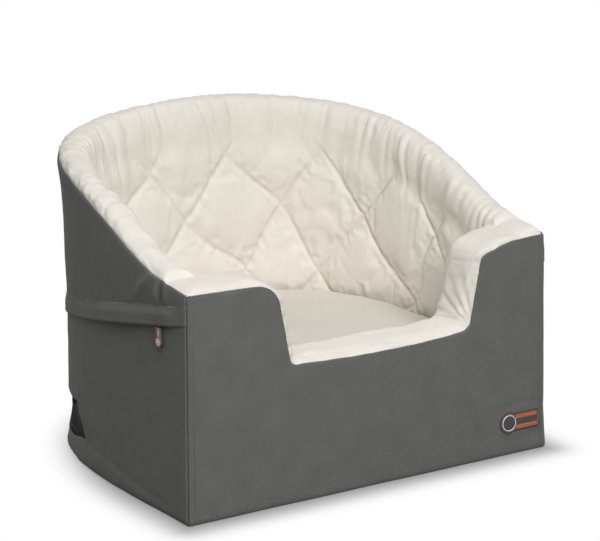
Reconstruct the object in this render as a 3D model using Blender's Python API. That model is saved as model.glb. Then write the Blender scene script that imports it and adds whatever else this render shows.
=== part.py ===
"""Dog car seat: a padded booster with a raised floor, a notched front and a high rounded back.

X runs to the seat's right, Y to its back and Z up. The origin is on the resting face, in the
middle of the seat's width and depth. Run it in Blender 4.5: it empties the scene, then models the
seat. The walls are swept along one curved line, the outer face of the cover seen from above, and
every layer lies at its own inset from that line.
"""

import math

import bmesh
import bpy
from mathutils import Vector

# Overall sizes, in metres
WIDTH = 0.610
DEPTH = 0.525
SIDE_STRAIGHT = 0.140
FRONT_HEIGHT = 0.325
BACK_HEIGHT = 0.455
PLAN_EXPONENT_SHARE = 3.0
RIM_RISE_SHARES = (
    (0.0, 0.0), (0.07, 0.045), (0.14, 0.11), (0.21, 0.24), (0.28, 0.40),
    (0.36, 0.55), (0.45, 0.69), (0.60, 0.83), (0.80, 0.94), (1.0, 1.0),
)

# Cover and clearance between layers
SKIN = 0.0024
GAP = 0.0003
OVERRUN = 0.010
SHARP_ANGLE = math.radians(35)

# Front notch, on the front face
NOTCH_HEIGHT = 0.200
NOTCH_HALF_WIDTH = 0.1515
NOTCH_OFFSET = 0.0145
NOTCH_LEAN_SHARE = 0.20
NOTCH_TOP_RADIUS_LEFT = 0.034
NOTCH_TOP_RADIUS_RIGHT = 0.022
NOTCH_BOTTOM_RADIUS = 0.016
SHOULDER_DROP = 0.004

# Foam
FRONT_FOAM_THICKNESS = 0.060
FOAM_DROP = 0.006
FOAM_TOP_THICKNESS = 0.0335
FOAM_BASE_THICKNESS = 0.0475
PLATFORM_HEIGHT = 0.150
BOARD_THICKNESS = 0.003

# Quilted lining
QUILT_STEP = 0.0283
QUILT_PUFF = 0.0070
QUILT_LEVEL = 0.286
QUILT_HALF_CELL_SHARE = 3
QUILT_SHIFT_SHARE = 1
QUILT_LOW_ROWS_SHARE = 4
QUILT_HIGH_ROWS_SHARE = 5
LEAN_SHARE = 1.25
LINER_TOP_INSET = 0.044
LINER_BASE_INSET = 0.066
ROLL_HEIGHT = 0.012
ROLL_WIDTH = 0.047
ROLL_TUCK = 0.010
ROLL_END_SHARE = 0.72
ROLL_END_LENGTH = 0.070
# Each row: shares of the roll's width, its tuck and its height
ROLL_SECTION_SHARES = (
    (0.0, -1.0, 0.10), (0.0, 0.0, 0.10), (0.08, 0.0, 0.62), (0.30, 0.0, 0.98),
    (0.62, 0.0, 0.98), (0.88, 0.0, 0.45), (1.0, -0.75, 0.0),
)
CAP_DEPTH = 0.080
CAP_CROWN = 0.0145
CAP_LIFT_WIDTH = 0.060
CAP_LINING_SHARE = 0.15
# Each row: shares of the cap's depth and of its crown
CAP_SECTION_SHARES = (
    (0.0, 0.0), (0.0, 0.56), (0.10, 0.90), (0.35, 1.0), (0.68, 1.0), (0.90, 0.80), (1.0, 0.30), (1.0, 0.0),
)

# Floor pad
PAD_THICKNESS = 0.0155
PAD_CROWN = 0.005
PAD_CLEARANCE = 0.0015
PAD_EDGE_DRAW = 0.008
PAD_RECESS_DEPTH = 0.028
PAD_RECESS_HALF_WIDTH = 0.036
# Each row: shares of the edge draw, the side's height, the crown and the recess
PAD_SECTION_SHARES = (
    (1.0, 0.0, 0.0, 1.0), (0.0, 0.45, 0.0, 1.0), (0.5, 0.85, 0.0, 1.0),
    (2.0, 1.0, 0.0, 0.9), (6.0, 1.0, 0.6, 0.4), (13.0, 1.0, 1.0, 0.0),
)

# Zip and flap on the side and back
ZIP_FRONT_DROP = 0.029
ZIP_FALL_SHARE = 0.20
ZIP_OPENING = 0.018
CHAIN_WIDTH = 0.0030
CHAIN_DEPTH = 0.0025
CHAIN_PROUD = 0.0006
TAPE_THICKNESS = 0.0014
ZIP_START = 0.0585
STOP_LENGTH = 0.004
FLAP_THICKNESS = 0.0016
FLAP_DROP = 0.012
FLAP_RISE = 0.016
FLAP_STANDOFF = 0.0055
FLAP_START = 0.0036

# Zip slider and its puller
SLIDER_PLACE = 0.065
SLIDER_LENGTH = 0.010
SLIDER_WIDTH = 0.0076
SLIDER_PLATE = 0.0012
SLIDER_LIP = 0.0009
BRIDGE_WIDTH = 0.0022
BRIDGE_HEIGHT = 0.0010
LINK_THICKNESS = 0.0009
LINK_WIDTH = 0.0052
LINK_NECK = 0.0026
PIVOT_DROP = 0.0046
PIVOT_RADIUS = 0.0007
PIVOT_LENGTH = 0.0076
TAB_WIDTH = 0.0125
TAB_LENGTH = 0.0270
TAB_THICKNESS = 0.0040
TAB_TOP = 0.0018
TAB_DISC_RADIUS = 0.0080
INLAY_THICKNESS = 0.0006
INLAY_MARGIN = 0.0016

# Belt channel across the back
WINDOW_LOW = 0.040
WINDOW_HIGH = 0.096
WINDOW_START_LOW = 0.297
WINDOW_START_HIGH = 0.334
CHANNEL_START = 0.285
CHANNEL_FULL = 0.400
CHANNEL_DEPTH = 0.010
LINING_THICKNESS = 0.0012
SLEEVE_START = 0.490
SLEEVE_LAP = 0.012

# Tether loop and ring at the middle of the back wall
LOOP_WIDTH = 0.020
WEBBING = 0.0016
RING_WIRE = 0.0040
RING_HEIGHT = 0.193
RING_WIDTH = 0.040
RING_DROP = 0.022
RING_BEND_SHARE = 0.8
RING_REST = 0.0012
LOOP_STANDOFF = 0.0015

# Badge on the front
BADGE_WIDTH = 0.071
BADGE_HEIGHT = 0.033
BADGE_SIDE = 0.0495
BADGE_LEVEL = 0.0505
BADGE_THICKNESS = 0.0018
BADGE_RADIUS = 0.007
BADGE_MARGIN = 0.0035
BADGE_RIM = 0.0022

FRONT = -DEPTH / 2
HALF_WIDTH = WIDTH / 2
BACK_REACH = DEPTH - SIDE_STRAIGHT
INNER = SKIN + GAP
PLATFORM_BASE = SKIN + GAP + BOARD_THICKNESS + GAP
LINER_FLOOR = PLATFORM_HEIGHT + GAP
ZIP_FRONT_HEIGHT = FRONT_HEIGHT - ZIP_FRONT_DROP


def clear_scene():
    for item in list(bpy.data.objects):
        bpy.data.objects.remove(item, do_unlink=True)


def finish(name, color, roughness, metallic=0.0):
    """A plain material for one kind of surface."""
    material = bpy.data.materials.new(name)
    material.use_nodes = True
    shader = material.node_tree.nodes["Principled BSDF"]
    shader.inputs["Base Color"].default_value = (*color, 1.0)
    shader.inputs["Roughness"].default_value = roughness
    shader.inputs["Metallic"].default_value = metallic
    return material


def add_object(name, mesh, material):
    mesh.materials.append(material)
    item = bpy.data.objects.new(name, mesh)
    bpy.context.scene.collection.objects.link(item)
    return item


def solid(name, material, vertices, faces, smooth=False):
    """One closed body with its faces turned outwards."""
    mesh = bpy.data.meshes.new(name)
    mesh.from_pydata(vertices, [], faces)
    form = bmesh.new()
    form.from_mesh(mesh)
    bmesh.ops.recalc_face_normals(form, faces=form.faces)
    if form.calc_volume(signed=True) < 0:
        bmesh.ops.reverse_faces(form, faces=form.faces)
    form.to_mesh(mesh)
    form.free()
    if smooth:
        mesh.shade_smooth()
        mesh.set_sharp_from_angle(angle=SHARP_ANGLE)
    return add_object(name, mesh, material)


def loft(name, material, rings, closed=False, split=None, smooth=False):
    """Rings of points joined in order, capped at both ends unless the last meets the first.

    split(i, j) says that the face between ring i and point j is halved along its other diagonal.
    """
    count = len(rings[0])
    vertices = [point for ring in rings for point in ring]
    faces = []
    for i in range(len(rings) if closed else len(rings) - 1):
        near, far = i * count, (i + 1) % len(rings) * count
        for j in range(count):
            k = (j + 1) % count
            a, b, c, d = near + j, near + k, far + k, far + j
            side = split(i, j) if split else None
            if side is None:
                faces.append((a, b, c, d))
            elif side:
                faces += [(a, b, d), (b, c, d)]
            else:
                faces += [(a, b, c), (a, c, d)]
    if not closed:
        faces += [tuple(range(count)), tuple(range(len(vertices) - count, len(vertices)))]
    return solid(name, material, vertices, faces, smooth)


def prism(name, material, outline, low, high):
    """An outline of (x, y) points raised from one height to another."""
    return loft(name, material, [[(x, y, z) for x, y in outline] for z in (low, high)])


def apply_boolean(item, operation, cutter):
    """Cut, or join, with another object, which is used up, and leave a plain mesh."""
    modifier = item.modifiers.new("Boolean", "BOOLEAN")
    modifier.operation = operation
    modifier.solver = "EXACT"
    modifier.object = cutter
    graph = bpy.context.evaluated_depsgraph_get()
    mesh = bpy.data.meshes.new_from_object(item.evaluated_get(graph))
    item.modifiers.clear()
    item.data = mesh
    bpy.data.objects.remove(cutter, do_unlink=True)


def rounded(corners, steps=5):
    """A line through corners (x, z, radius), with each corner turned into an arc."""
    line = []
    for k, (x, z, radius) in enumerate(corners):
        here = Vector((x, z))
        if not radius or k in (0, len(corners) - 1):
            line.append((x, z))
            continue
        back = (Vector(corners[k - 1][:2]) - here).normalized()
        ahead = (Vector(corners[k + 1][:2]) - here).normalized()
        half = back.angle(ahead) / 2
        centre = here + (back + ahead).normalized() * radius / math.sin(half)
        start = here + back * radius / math.tan(half) - centre
        end = here + ahead * radius / math.tan(half) - centre
        turn = math.atan2(start.x * end.y - start.y * end.x, start.dot(end))
        for step in range(steps + 1):
            angle = turn * step / steps
            cosine, sine = math.cos(angle), math.sin(angle)
            line.append((centre.x + start.x * cosine - start.y * sine,
                         centre.y + start.x * sine + start.y * cosine))
    return line


# The wall's line seen from above

def superellipse(share):
    """Point and outward direction on the left half: share 0 is where the side starts to turn."""
    angle = share * math.pi / 2
    power = 2 / PLAN_EXPONENT_SHARE
    cosine, sine = math.cos(angle), math.sin(angle)
    x = -HALF_WIDTH * max(cosine, 0) ** power
    y = FRONT + SIDE_STRAIGHT + BACK_REACH * sine ** power
    across = -(abs(x) / HALF_WIDTH) ** (PLAN_EXPONENT_SHARE - 1) / HALF_WIDTH
    along = ((y - FRONT - SIDE_STRAIGHT) / BACK_REACH) ** (PLAN_EXPONENT_SHARE - 1) / BACK_REACH
    return Vector((x, y)), Vector((across, along)).normalized()


def wall_stations():
    """Corners of the wall's line, at even steps along the lining's face, with arc lengths."""
    count = 1500
    fine = [superellipse(k / count) for k in range(count + 1)]
    lining = [point - normal * LINER_TOP_INSET for point, normal in fine]
    reach = [0.0]
    for a, b in zip(lining, lining[1:]):
        reach.append(reach[-1] + (b - a).length)
    points = [fine[-1][0]]
    distance = reach[-1] - QUILT_STEP
    for k in range(len(fine) - 1, 0, -1):
        if reach[k] >= distance > reach[k - 1]:
            points.append(fine[k][0])
            distance -= QUILT_STEP
    y = fine[0][0].y
    while y > FRONT + GAP:
        points.append(Vector((-HALF_WIDTH, y)))
        y -= QUILT_STEP
    points.append(Vector((-HALF_WIDTH, FRONT)))
    half = points[::-1]
    return half + [Vector((-point.x, point.y)) for point in points[1:]]


STATIONS = wall_stations()
ARCS = [0.0]
for near_point, far_point in zip(STATIONS, STATIONS[1:]):
    ARCS.append(ARCS[-1] + (far_point - near_point).length)
TOTAL = ARCS[-1]
MIDDLE = len(STATIONS) // 2


def inset_corner(k, inset):
    """Station k moved in so that every face of the wall's line keeps the same inset."""
    here = STATIONS[k]
    sides = []
    if k:
        sides.append((here - STATIONS[k - 1]).normalized())
    if k < len(STATIONS) - 1:
        sides.append((STATIONS[k + 1] - here).normalized())
    normals = [Vector((side.y, -side.x)) for side in sides]
    if len(normals) == 1:
        return here + normals[0] * inset
    return here + (normals[0] + normals[1]) * inset / (1 + normals[0].dot(normals[1]))


def wall_point(arc, inset):
    """Point on the wall at an arc length from the left front corner."""
    k = max(1, next((n for n, reach in enumerate(ARCS) if reach >= arc), len(ARCS) - 1))
    share = (arc - ARCS[k - 1]) / (ARCS[k] - ARCS[k - 1])
    return inset_corner(k - 1, inset).lerp(inset_corner(k, inset), share)


def arcs_between(start, end):
    """The arc lengths of the stations from start to end, both ends included."""
    margin = GAP
    return [start] + [arc for arc in ARCS if start + margin < arc < end - margin] + [end]


def rim_height(arc):
    """Height of the cover's top edge."""
    share = min(arc, TOTAL - arc) / (TOTAL / 2)
    table = RIM_RISE_SHARES
    k = next(n for n in range(1, len(table)) if share <= table[n][0] or n == len(table) - 1)

    def slope(n):
        if n == len(table) - 1:
            return 0
        low, high = max(n - 1, 0), min(n + 1, len(table) - 1)
        return (table[high][1] - table[low][1]) / (table[high][0] - table[low][0])

    (x0, y0), (x1, y1) = table[k - 1], table[k]
    span = x1 - x0
    t = (share - x0) / span
    rise = ((1 + 2 * t) * (1 - t) ** 2 * y0 + t * (1 - t) ** 2 * span * slope(k - 1)
            + t * t * (3 - 2 * t) * y1 - t * t * (1 - t) * span * slope(k))
    return FRONT_HEIGHT + (BACK_HEIGHT - FRONT_HEIGHT) * rise


def zip_height(arc):
    """Height of the middle of the zip, which lies in one tilted plane."""
    return ZIP_FRONT_HEIGHT - ZIP_FALL_SHARE * (wall_point(arc, 0).y - FRONT)


def wall_strip(name, material, start, end, profile, split=None):
    """A solid swept along the wall; profile(arc) gives its section as (inset, height) points."""
    rings = []
    for arc in arcs_between(start, end):
        rings.append([(*wall_point(arc, inset), z) for inset, z in profile(arc)])
    return loft(name, material, rings, split=split)


def plan_outline(inset, front_inset):
    """The seat's outline from above, moved in from the sides and back and from the front."""
    depth = inset if callable(inset) else lambda arc: inset
    arcs = [arc for arc in ARCS if front_inset + GAP < arc < TOTAL - front_inset - GAP]
    arcs = [front_inset] + arcs + [TOTAL - front_inset]
    return [tuple(wall_point(arc, depth(arc))) for arc in arcs]


# The notch's line on the front

def notch_line(raise_by, half_span):
    """Top edge of the front wall, from left to right, moved towards the open side."""
    half = NOTCH_HALF_WIDTH - raise_by
    floor = NOTCH_HEIGHT + raise_by
    shoulder = FRONT_HEIGHT - SHOULDER_DROP + raise_by
    spread = half + (shoulder - floor) * NOTCH_LEAN_SHARE
    bottom = NOTCH_BOTTOM_RADIUS - raise_by
    left, right = NOTCH_OFFSET - half, NOTCH_OFFSET + half
    return rounded([
        (-half_span, FRONT_HEIGHT + raise_by, 0),
        (NOTCH_OFFSET - spread, shoulder, NOTCH_TOP_RADIUS_LEFT + raise_by),
        (left, floor, bottom),
        (right, floor, bottom),
        (NOTCH_OFFSET + spread, shoulder, NOTCH_TOP_RADIUS_RIGHT + raise_by),
        (half_span, FRONT_HEIGHT + raise_by, 0),
    ])


def front_plate(name, material, raise_by, half_span, low, near, far):
    """A slab of the front wall, under the notch's line, between two depths."""
    line = notch_line(raise_by, half_span)
    outline = [(-half_span, low)] + line + [(half_span, low)]
    return loft(name, material, [[(x, y, z) for x, z in outline] for y in (near, far)])


# Cover

def make_cover(cloth):
    front_plate("front_cover", cloth, 0, HALF_WIDTH, INNER, FRONT, FRONT + SKIN)
    half_opening = ZIP_OPENING / 2

    def upper(arc):
        low, high = zip_height(arc) + half_opening, rim_height(arc)
        return [(0, low), (0, high), (SKIN, high), (SKIN, low)]

    def lower(arc):
        high = zip_height(arc) - half_opening
        return [(0, INNER), (0, high), (SKIN, high), (SKIN, INNER)]

    wall_strip("upper_cover", cloth, INNER, TOTAL - INNER, upper)
    cover = wall_strip("lower_cover", cloth, INNER, TOTAL - INNER, lower)
    apply_boolean(cover, "DIFFERENCE", window_cutter(cloth))
    prism("bottom_cover", cloth, plan_outline(0, 0), 0, SKIN)

    def sleeve(arc):
        low, high = WINDOW_LOW - SLEEVE_LAP, WINDOW_HIGH + SLEEVE_LAP
        near, far = -GAP, -GAP - SKIN
        return [(near, low), (near, high), (far, high), (far, low)]

    wall_strip("belt_sleeve", cloth, SLEEVE_START, TOTAL - SLEEVE_START, sleeve)


def window_cutter(material):
    """The band cut out of the lower cover, with its two slanting ends."""
    near, far = -OVERRUN, SKIN + OVERRUN
    arcs = arcs_between(WINDOW_START_HIGH, TOTAL - WINDOW_START_HIGH)
    slant = WINDOW_START_HIGH - WINDOW_START_LOW
    rings = []
    for k, arc in enumerate(arcs):
        foot = arc - slant if k == 0 else arc + slant if k == len(arcs) - 1 else arc
        rings.append([
            (*wall_point(foot, near), WINDOW_LOW), (*wall_point(arc, near), WINDOW_HIGH),
            (*wall_point(arc, far), WINDOW_HIGH), (*wall_point(foot, far), WINDOW_LOW),
        ])
    return loft("window_cutter", material, rings)


def channel_inset(arc):
    """Depth of the belt channel's lining, which starts at the cover and slopes to full depth."""
    reach = min(arc, TOTAL - arc)
    share = (reach - CHANNEL_START) / (CHANNEL_FULL - CHANNEL_START)
    return INNER + (CHANNEL_DEPTH - INNER) * min(max(share, 0), 1)


# Zip, flap and slider

def make_zip(cloth, tape, teeth, metal):
    half_opening = ZIP_OPENING / 2 - GAP
    half_chain = CHAIN_WIDTH / 2

    def tape_profile(low, high):
        near, far = SKIN - TAPE_THICKNESS, SKIN
        return [(near, low), (near, high), (far, high), (far, low)]

    def upper(arc):
        middle = zip_height(arc)
        return tape_profile(middle + half_chain + GAP, middle + half_opening)

    def lower(arc):
        middle = zip_height(arc)
        return tape_profile(middle - half_opening, middle - half_chain - GAP)

    def chain(arc, grow=0.0):
        middle = zip_height(arc)
        near, far = -CHAIN_PROUD, CHAIN_DEPTH - CHAIN_PROUD
        low, high = middle - half_chain - grow, middle + half_chain + grow
        return [(near, low), (near, high), (far, high), (far, low)]

    wall_strip("zip_tape_upper", tape, INNER, TOTAL - INNER, upper)
    wall_strip("zip_tape_lower", tape, INNER, TOTAL - INNER, lower)
    wall_strip("zip_chain", teeth, ZIP_START, TOTAL - ZIP_START, chain)
    first, last = ZIP_START - GAP - STOP_LENGTH, TOTAL - ZIP_START + GAP
    wall_strip("zip_stop_front", metal, first, first + STOP_LENGTH, chain)
    wall_strip("zip_stop_rear", metal, last, last + STOP_LENGTH, chain)

    def flap(arc):
        middle = zip_height(arc)
        low, bend, high = middle - FLAP_DROP, middle + FLAP_RISE / 2, middle + FLAP_RISE
        seam, outer = -GAP, -FLAP_STANDOFF
        seam_low, outer_high = bend + ZIP_OPENING / 4, bend - ZIP_OPENING / 4
        return [
            (seam, high), (seam, seam_low), (outer, outer_high), (outer, low),
            (outer - FLAP_THICKNESS, low), (outer - FLAP_THICKNESS, outer_high),
            (seam - FLAP_THICKNESS, seam_low), (seam - FLAP_THICKNESS, high),
        ]

    wall_strip("zip_flap", cloth, FLAP_START, TOTAL - FLAP_START, flap)


def side_frame():
    """Middle of the slider on the left side, with the directions along and up the zip."""
    along = Vector((0, 1, -ZIP_FALL_SHARE)).normalized()
    up = Vector((0, ZIP_FALL_SHARE, 1)).normalized()
    height = ZIP_FRONT_HEIGHT - ZIP_FALL_SHARE * SLIDER_PLACE
    return Vector((-HALF_WIDTH, FRONT + SLIDER_PLACE, height)), along, up


def block(name, material, origin, axes, spans):
    """A box along three directions from an origin, with (low, high) spans along them."""
    rings = []
    for u in spans[0]:
        ring = []
        for v, w in ((0, 0), (1, 0), (1, 1), (0, 1)):
            point = origin + axes[0] * u + axes[1] * spans[1][v] + axes[2] * spans[2][w]
            ring.append(tuple(point))
        rings.append(ring)
    return loft(name, material, rings)


def make_slider(metal):
    """A saddle over the chain, with a bridge that holds the puller's link."""
    middle, along, up = side_frame()
    out = Vector((-1, 0, 0))
    half = SLIDER_LENGTH / 2
    inside = CHAIN_WIDTH / 2 + GAP
    face = CHAIN_PROUD + GAP
    lip_low = face - SLIDER_LIP
    top = face + SLIDER_PLATE
    section = [
        (-SLIDER_WIDTH / 2, lip_low), (-SLIDER_WIDTH / 2, top), (SLIDER_WIDTH / 2, top),
        (SLIDER_WIDTH / 2, lip_low), (inside, lip_low), (inside, face),
        (-inside, face), (-inside, lip_low),
    ]
    rings = [[tuple(middle + along * u + up * v + out * w) for v, w in section] for u in (-half, half)]
    slider = loft("zip_slider", metal, rings)
    rise = top + LINK_THICKNESS + GAP * 2
    post = BRIDGE_WIDTH / 2
    base = top - SLIDER_PLATE / 2
    bridge = block("bridge", metal, middle, (along, up, out),
                   ((-post, post), (-post, post), (base, rise + BRIDGE_HEIGHT)))
    apply_boolean(slider, "UNION", bridge)
    cap = block("bridge_cap", metal, middle, (along, up, out),
                ((-LINK_WIDTH / 2, LINK_WIDTH / 2), (-post, post), (rise, rise + BRIDGE_HEIGHT)))
    apply_boolean(slider, "UNION", cap)


def pivot_place():
    """Axis of the puller below the flap's edge, and how far it stands out."""
    middle, along, up = side_frame()
    top = CHAIN_PROUD + GAP + SLIDER_PLATE
    stand = top + GAP + LINK_THICKNESS / 2
    low_edge = middle.z - FLAP_DROP
    return Vector((middle.x - stand, middle.y, low_edge - PIVOT_DROP))


def make_link(metal):
    """Flat link over the bridge, with a cross bar that the puller turns on."""
    middle, _, _ = side_frame()
    pivot = pivot_place()
    y_axis, z_axis, out = Vector((0, 1, 0)), Vector((0, 0, 1)), Vector((-1, 0, 0))
    half_thickness = LINK_THICKNESS / 2
    eye = BRIDGE_WIDTH + GAP
    origin = Vector((pivot.x, middle.y, middle.z))
    drop = middle.z - pivot.z
    axes = (y_axis, z_axis, out)
    flat = (-half_thickness, half_thickness)
    link = block("pull_link", metal, origin, axes,
                 ((-LINK_WIDTH / 2, LINK_WIDTH / 2), (-eye * 2, eye * 2), flat))
    neck = block("neck", metal, origin, axes,
                 ((-LINK_NECK / 2, LINK_NECK / 2), (-drop, -eye), flat))
    apply_boolean(link, "UNION", neck)
    room = (-eye / 2 - GAP, eye / 2 + GAP)
    hole = block("hole", metal, origin, axes,
                 (room, room, (-half_thickness - OVERRUN, half_thickness + OVERRUN)))
    apply_boolean(link, "DIFFERENCE", hole)
    bar = turned_bar("bar", metal, pivot, PIVOT_RADIUS, PIVOT_LENGTH)
    apply_boolean(link, "UNION", bar)


def turned_bar(name, material, centre, radius, length, sides=12):
    """A round bar along Y."""
    rings = []
    for y in (-length / 2, length / 2):
        ring = []
        for k in range(sides):
            angle = 2 * math.pi * (k + 0.5) / sides
            across, rise = radius * math.cos(angle), radius * math.sin(angle)
            ring.append((centre.x + across, centre.y + y, centre.z + rise))
        rings.append(ring)
    return loft(name, material, rings)


def tab_outline(shrink, top):
    """The puller seen from the side, as (y, z) from its axis: straight sides and a round disc."""
    half = TAB_WIDTH / 2 - shrink
    radius = TAB_DISC_RADIUS - shrink
    centre = -TAB_LENGTH + TAB_DISC_RADIUS
    meet = math.asin(half / radius)
    points = [(-half, top), (-half, centre + radius * math.cos(meet))]
    turn = 2 * (math.pi - meet)
    steps = 16
    for k in range(1, steps):
        angle = meet + turn * k / steps
        points.append((-radius * math.sin(angle), centre + radius * math.cos(angle)))
    return points + [(half, centre + radius * math.cos(meet)), (half, top)]


def make_tab(rubber, copper):
    """Rubber puller with ears around the link's cross bar, and the inlay on its outer face."""
    pivot = pivot_place()
    half = TAB_THICKNESS / 2
    outline = tab_outline(0, TAB_TOP)
    rings = [[(pivot.x + x, pivot.y + y, pivot.z + z) for y, z in outline] for x in (-half, half)]
    tab = loft("pull_tab", rubber, rings)
    y_axis, z_axis, out = Vector((0, 1, 0)), Vector((0, 0, 1)), Vector((-1, 0, 0))
    room = LINK_NECK / 2 + GAP * 2
    slot = block("slot", rubber, pivot, (y_axis, z_axis, out),
                 ((-room, room), (-PIVOT_RADIUS - GAP * 2, OVERRUN), (-OVERRUN, OVERRUN)))
    apply_boolean(tab, "DIFFERENCE", slot)
    bore = turned_bar("bore", rubber, pivot, PIVOT_RADIUS + GAP, PIVOT_LENGTH + GAP * 2)
    apply_boolean(tab, "DIFFERENCE", bore)
    low = -PIVOT_RADIUS - INLAY_MARGIN
    inlay = tab_outline(INLAY_MARGIN, low)
    face = pivot.x - half - GAP
    rings = [[(face - x, pivot.y + y, pivot.z + z) for y, z in inlay] for x in (0, INLAY_THICKNESS)]
    loft("pull_inlay", copper, rings)
    frame_parent("pull_axis", pivot, ("pull_tab", "pull_inlay"))


def frame_parent(name, place, children):
    """An empty on a joint's axis, which carries the pieces that turn about it."""
    axis = bpy.data.objects.new(name, None)
    axis.location = place
    bpy.context.scene.collection.objects.link(axis)
    bpy.context.view_layer.update()
    for child in children:
        item = bpy.data.objects[child]
        item.parent = axis
        item.matrix_parent_inverse = axis.matrix_world.inverted()


# Foam, board and channel lining

def make_inside(foam, board, lining):
    prism("base_board", board, plan_outline(INNER, INNER), INNER, INNER + BOARD_THICKNESS)
    low, high = WINDOW_LOW - GAP, WINDOW_HIGH + GAP

    def middle(arc):
        return channel_inset(arc) + LINING_THICKNESS + GAP

    prism("platform_foam_bottom", foam, plan_outline(INNER, INNER), PLATFORM_BASE, low)
    prism("platform_foam_middle", foam, plan_outline(middle, INNER), WINDOW_LOW, WINDOW_HIGH)
    prism("platform_foam_top", foam, plan_outline(INNER, INNER), high, PLATFORM_HEIGHT)

    def section(arc):
        deep = channel_inset(arc)
        shell = deep + LINING_THICKNESS
        lip = min(INNER, deep - GAP)
        low_lip, high_lip = WINDOW_LOW + LINING_THICKNESS, WINDOW_HIGH - LINING_THICKNESS
        return [
            (lip, WINDOW_LOW), (shell, WINDOW_LOW), (shell, WINDOW_HIGH), (lip, WINDOW_HIGH),
            (lip, high_lip), (deep, high_lip), (deep, low_lip), (lip, low_lip),
        ]

    wall_strip("channel_lining", lining, CHANNEL_START, TOTAL - CHANNEL_START, section)

    front_face = FRONT + INNER
    back_face = front_face + FRONT_FOAM_THICKNESS
    front = front_plate("front_foam", foam, -FOAM_DROP, HALF_WIDTH - INNER, LINER_FLOOR,
                        front_face, FRONT + CAP_DEPTH)
    apply_boolean(front, "DIFFERENCE", cabin_cutter(foam, back_face))
    wall_strip("wall_foam", foam, CAP_DEPTH + GAP, TOTAL - CAP_DEPTH - GAP, foam_section,
               split=lambda i, j: False if j == 2 else None)


def foam_section(arc):
    high = rim_height(arc) - ROLL_TUCK - GAP
    return [
        (INNER, LINER_FLOOR), (INNER, high),
        (INNER + FOAM_TOP_THICKNESS, high), (INNER + FOAM_BASE_THICKNESS, LINER_FLOOR),
    ]


def cabin_cutter(material, near):
    """The space behind the front foam, between its two thicker ends."""
    slope = (FOAM_BASE_THICKNESS - FOAM_TOP_THICKNESS) / (FRONT_HEIGHT - LINER_FLOOR)
    low, high = LINER_FLOOR - OVERRUN, FRONT_HEIGHT + OVERRUN
    foot = HALF_WIDTH - INNER - FOAM_BASE_THICKNESS - OVERRUN * slope
    top = HALF_WIDTH - INNER - FOAM_TOP_THICKNESS + OVERRUN * slope
    section = [(-foot, low), (-top, high), (top, high), (foot, low)]
    rings = [[(x, y, z) for x, z in section] for y in (near, FRONT + CAP_DEPTH + OVERRUN)]
    return loft("cabin_cutter", material, rings)


# Quilted lining

def liner_lean(z, arc):
    """Inset of the quilting's seams: the lining leans in towards the floor."""
    top = rim_height(arc) - ROLL_TUCK
    share = (z - LINER_FLOOR) / (top - LINER_FLOOR)
    return LINER_BASE_INSET + (LINER_TOP_INSET - LINER_BASE_INSET) * min(share * LEAN_SHARE, 1)


def quilt_rows(arc):
    """Heights of the rows of the quilting, from the roll down to the floor."""
    top = rim_height(arc) - ROLL_TUCK * 2
    rise = (top - QUILT_LEVEL) / QUILT_HIGH_ROWS_SHARE
    high = [(QUILT_LEVEL + rise * n, n) for n in range(QUILT_HIGH_ROWS_SHARE, 0, -1)]
    low = [(QUILT_LEVEL - QUILT_STEP * n, -n) for n in range(QUILT_LOW_ROWS_SHARE + 1)]
    return high + low + [(LINER_FLOOR, -QUILT_LOW_ROWS_SHARE - 1)]


def on_seam(column, row):
    """Whether a point of the quilting's grid lies on a diagonal seam."""
    cell = 2 * QUILT_HALF_CELL_SHARE
    return (column - row) % cell == 0 or (column + row) % cell == 0


def puff(column, row):
    """How far the quilting stands out, from 0 on a seam to 1 in the middle of a diamond."""
    cell = 2 * QUILT_HALF_CELL_SHARE
    first = abs(math.sin(math.pi * (column - row) / cell))
    second = abs(math.sin(math.pi * (column + row) / cell))
    return math.sqrt(first * second)


def make_liner(plush):
    arcs = arcs_between(CAP_DEPTH + GAP, TOTAL - CAP_DEPTH - GAP)
    first = ARCS.index(arcs[1])

    def column(i):
        return first + i - 1 - MIDDLE + QUILT_SHIFT_SHARE

    rings = []
    for i, arc in enumerate(arcs):
        rim = rim_height(arc)
        reach = min(arc, TOTAL - arc) - CAP_DEPTH
        crown = ROLL_HEIGHT * (ROLL_END_SHARE + (1 - ROLL_END_SHARE) * min(reach / ROLL_END_LENGTH, 1))
        ring = []
        for across, tuck, rise in ROLL_SECTION_SHARES:
            inset = INNER + (ROLL_WIDTH - INNER) * across
            ring.append((*wall_point(arc, inset), rim + ROLL_TUCK * tuck + crown * rise))
        ends = min(i, len(arcs) - 1 - i, 1)
        for z, row in quilt_rows(arc):
            spread = min((rim - QUILT_LEVEL) / (QUILT_STEP * QUILT_HIGH_ROWS_SHARE), 1) if row > 0 else 1
            edge = 0 if row in (QUILT_HIGH_ROWS_SHARE, -QUILT_LOW_ROWS_SHARE - 1) else 1
            swell = QUILT_PUFF * puff(column(i), row) * ends * edge * spread
            ring.append((*wall_point(arc, liner_lean(z, arc) + swell), z))
        foam_top = rim - ROLL_TUCK
        ring.append((*wall_point(arc, INNER + FOAM_BASE_THICKNESS + GAP), LINER_FLOOR))
        ring.append((*wall_point(arc, INNER + FOAM_TOP_THICKNESS + GAP), foam_top))
        rings.append(ring)
    roll = len(ROLL_SECTION_SHARES)
    rows = [row for _, row in quilt_rows(TOTAL / 2)]

    def split(i, j):
        if j == roll + len(rows):
            return True
        if not roll <= j < roll + len(rows) - 1:
            return None
        return on_seam(column(i), rows[j - roll + 1]) and on_seam(column(i + 1), rows[j - roll])

    loft("wall_liner", plush, rings, split=split, smooth=True)
    make_front_liner(plush)


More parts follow.
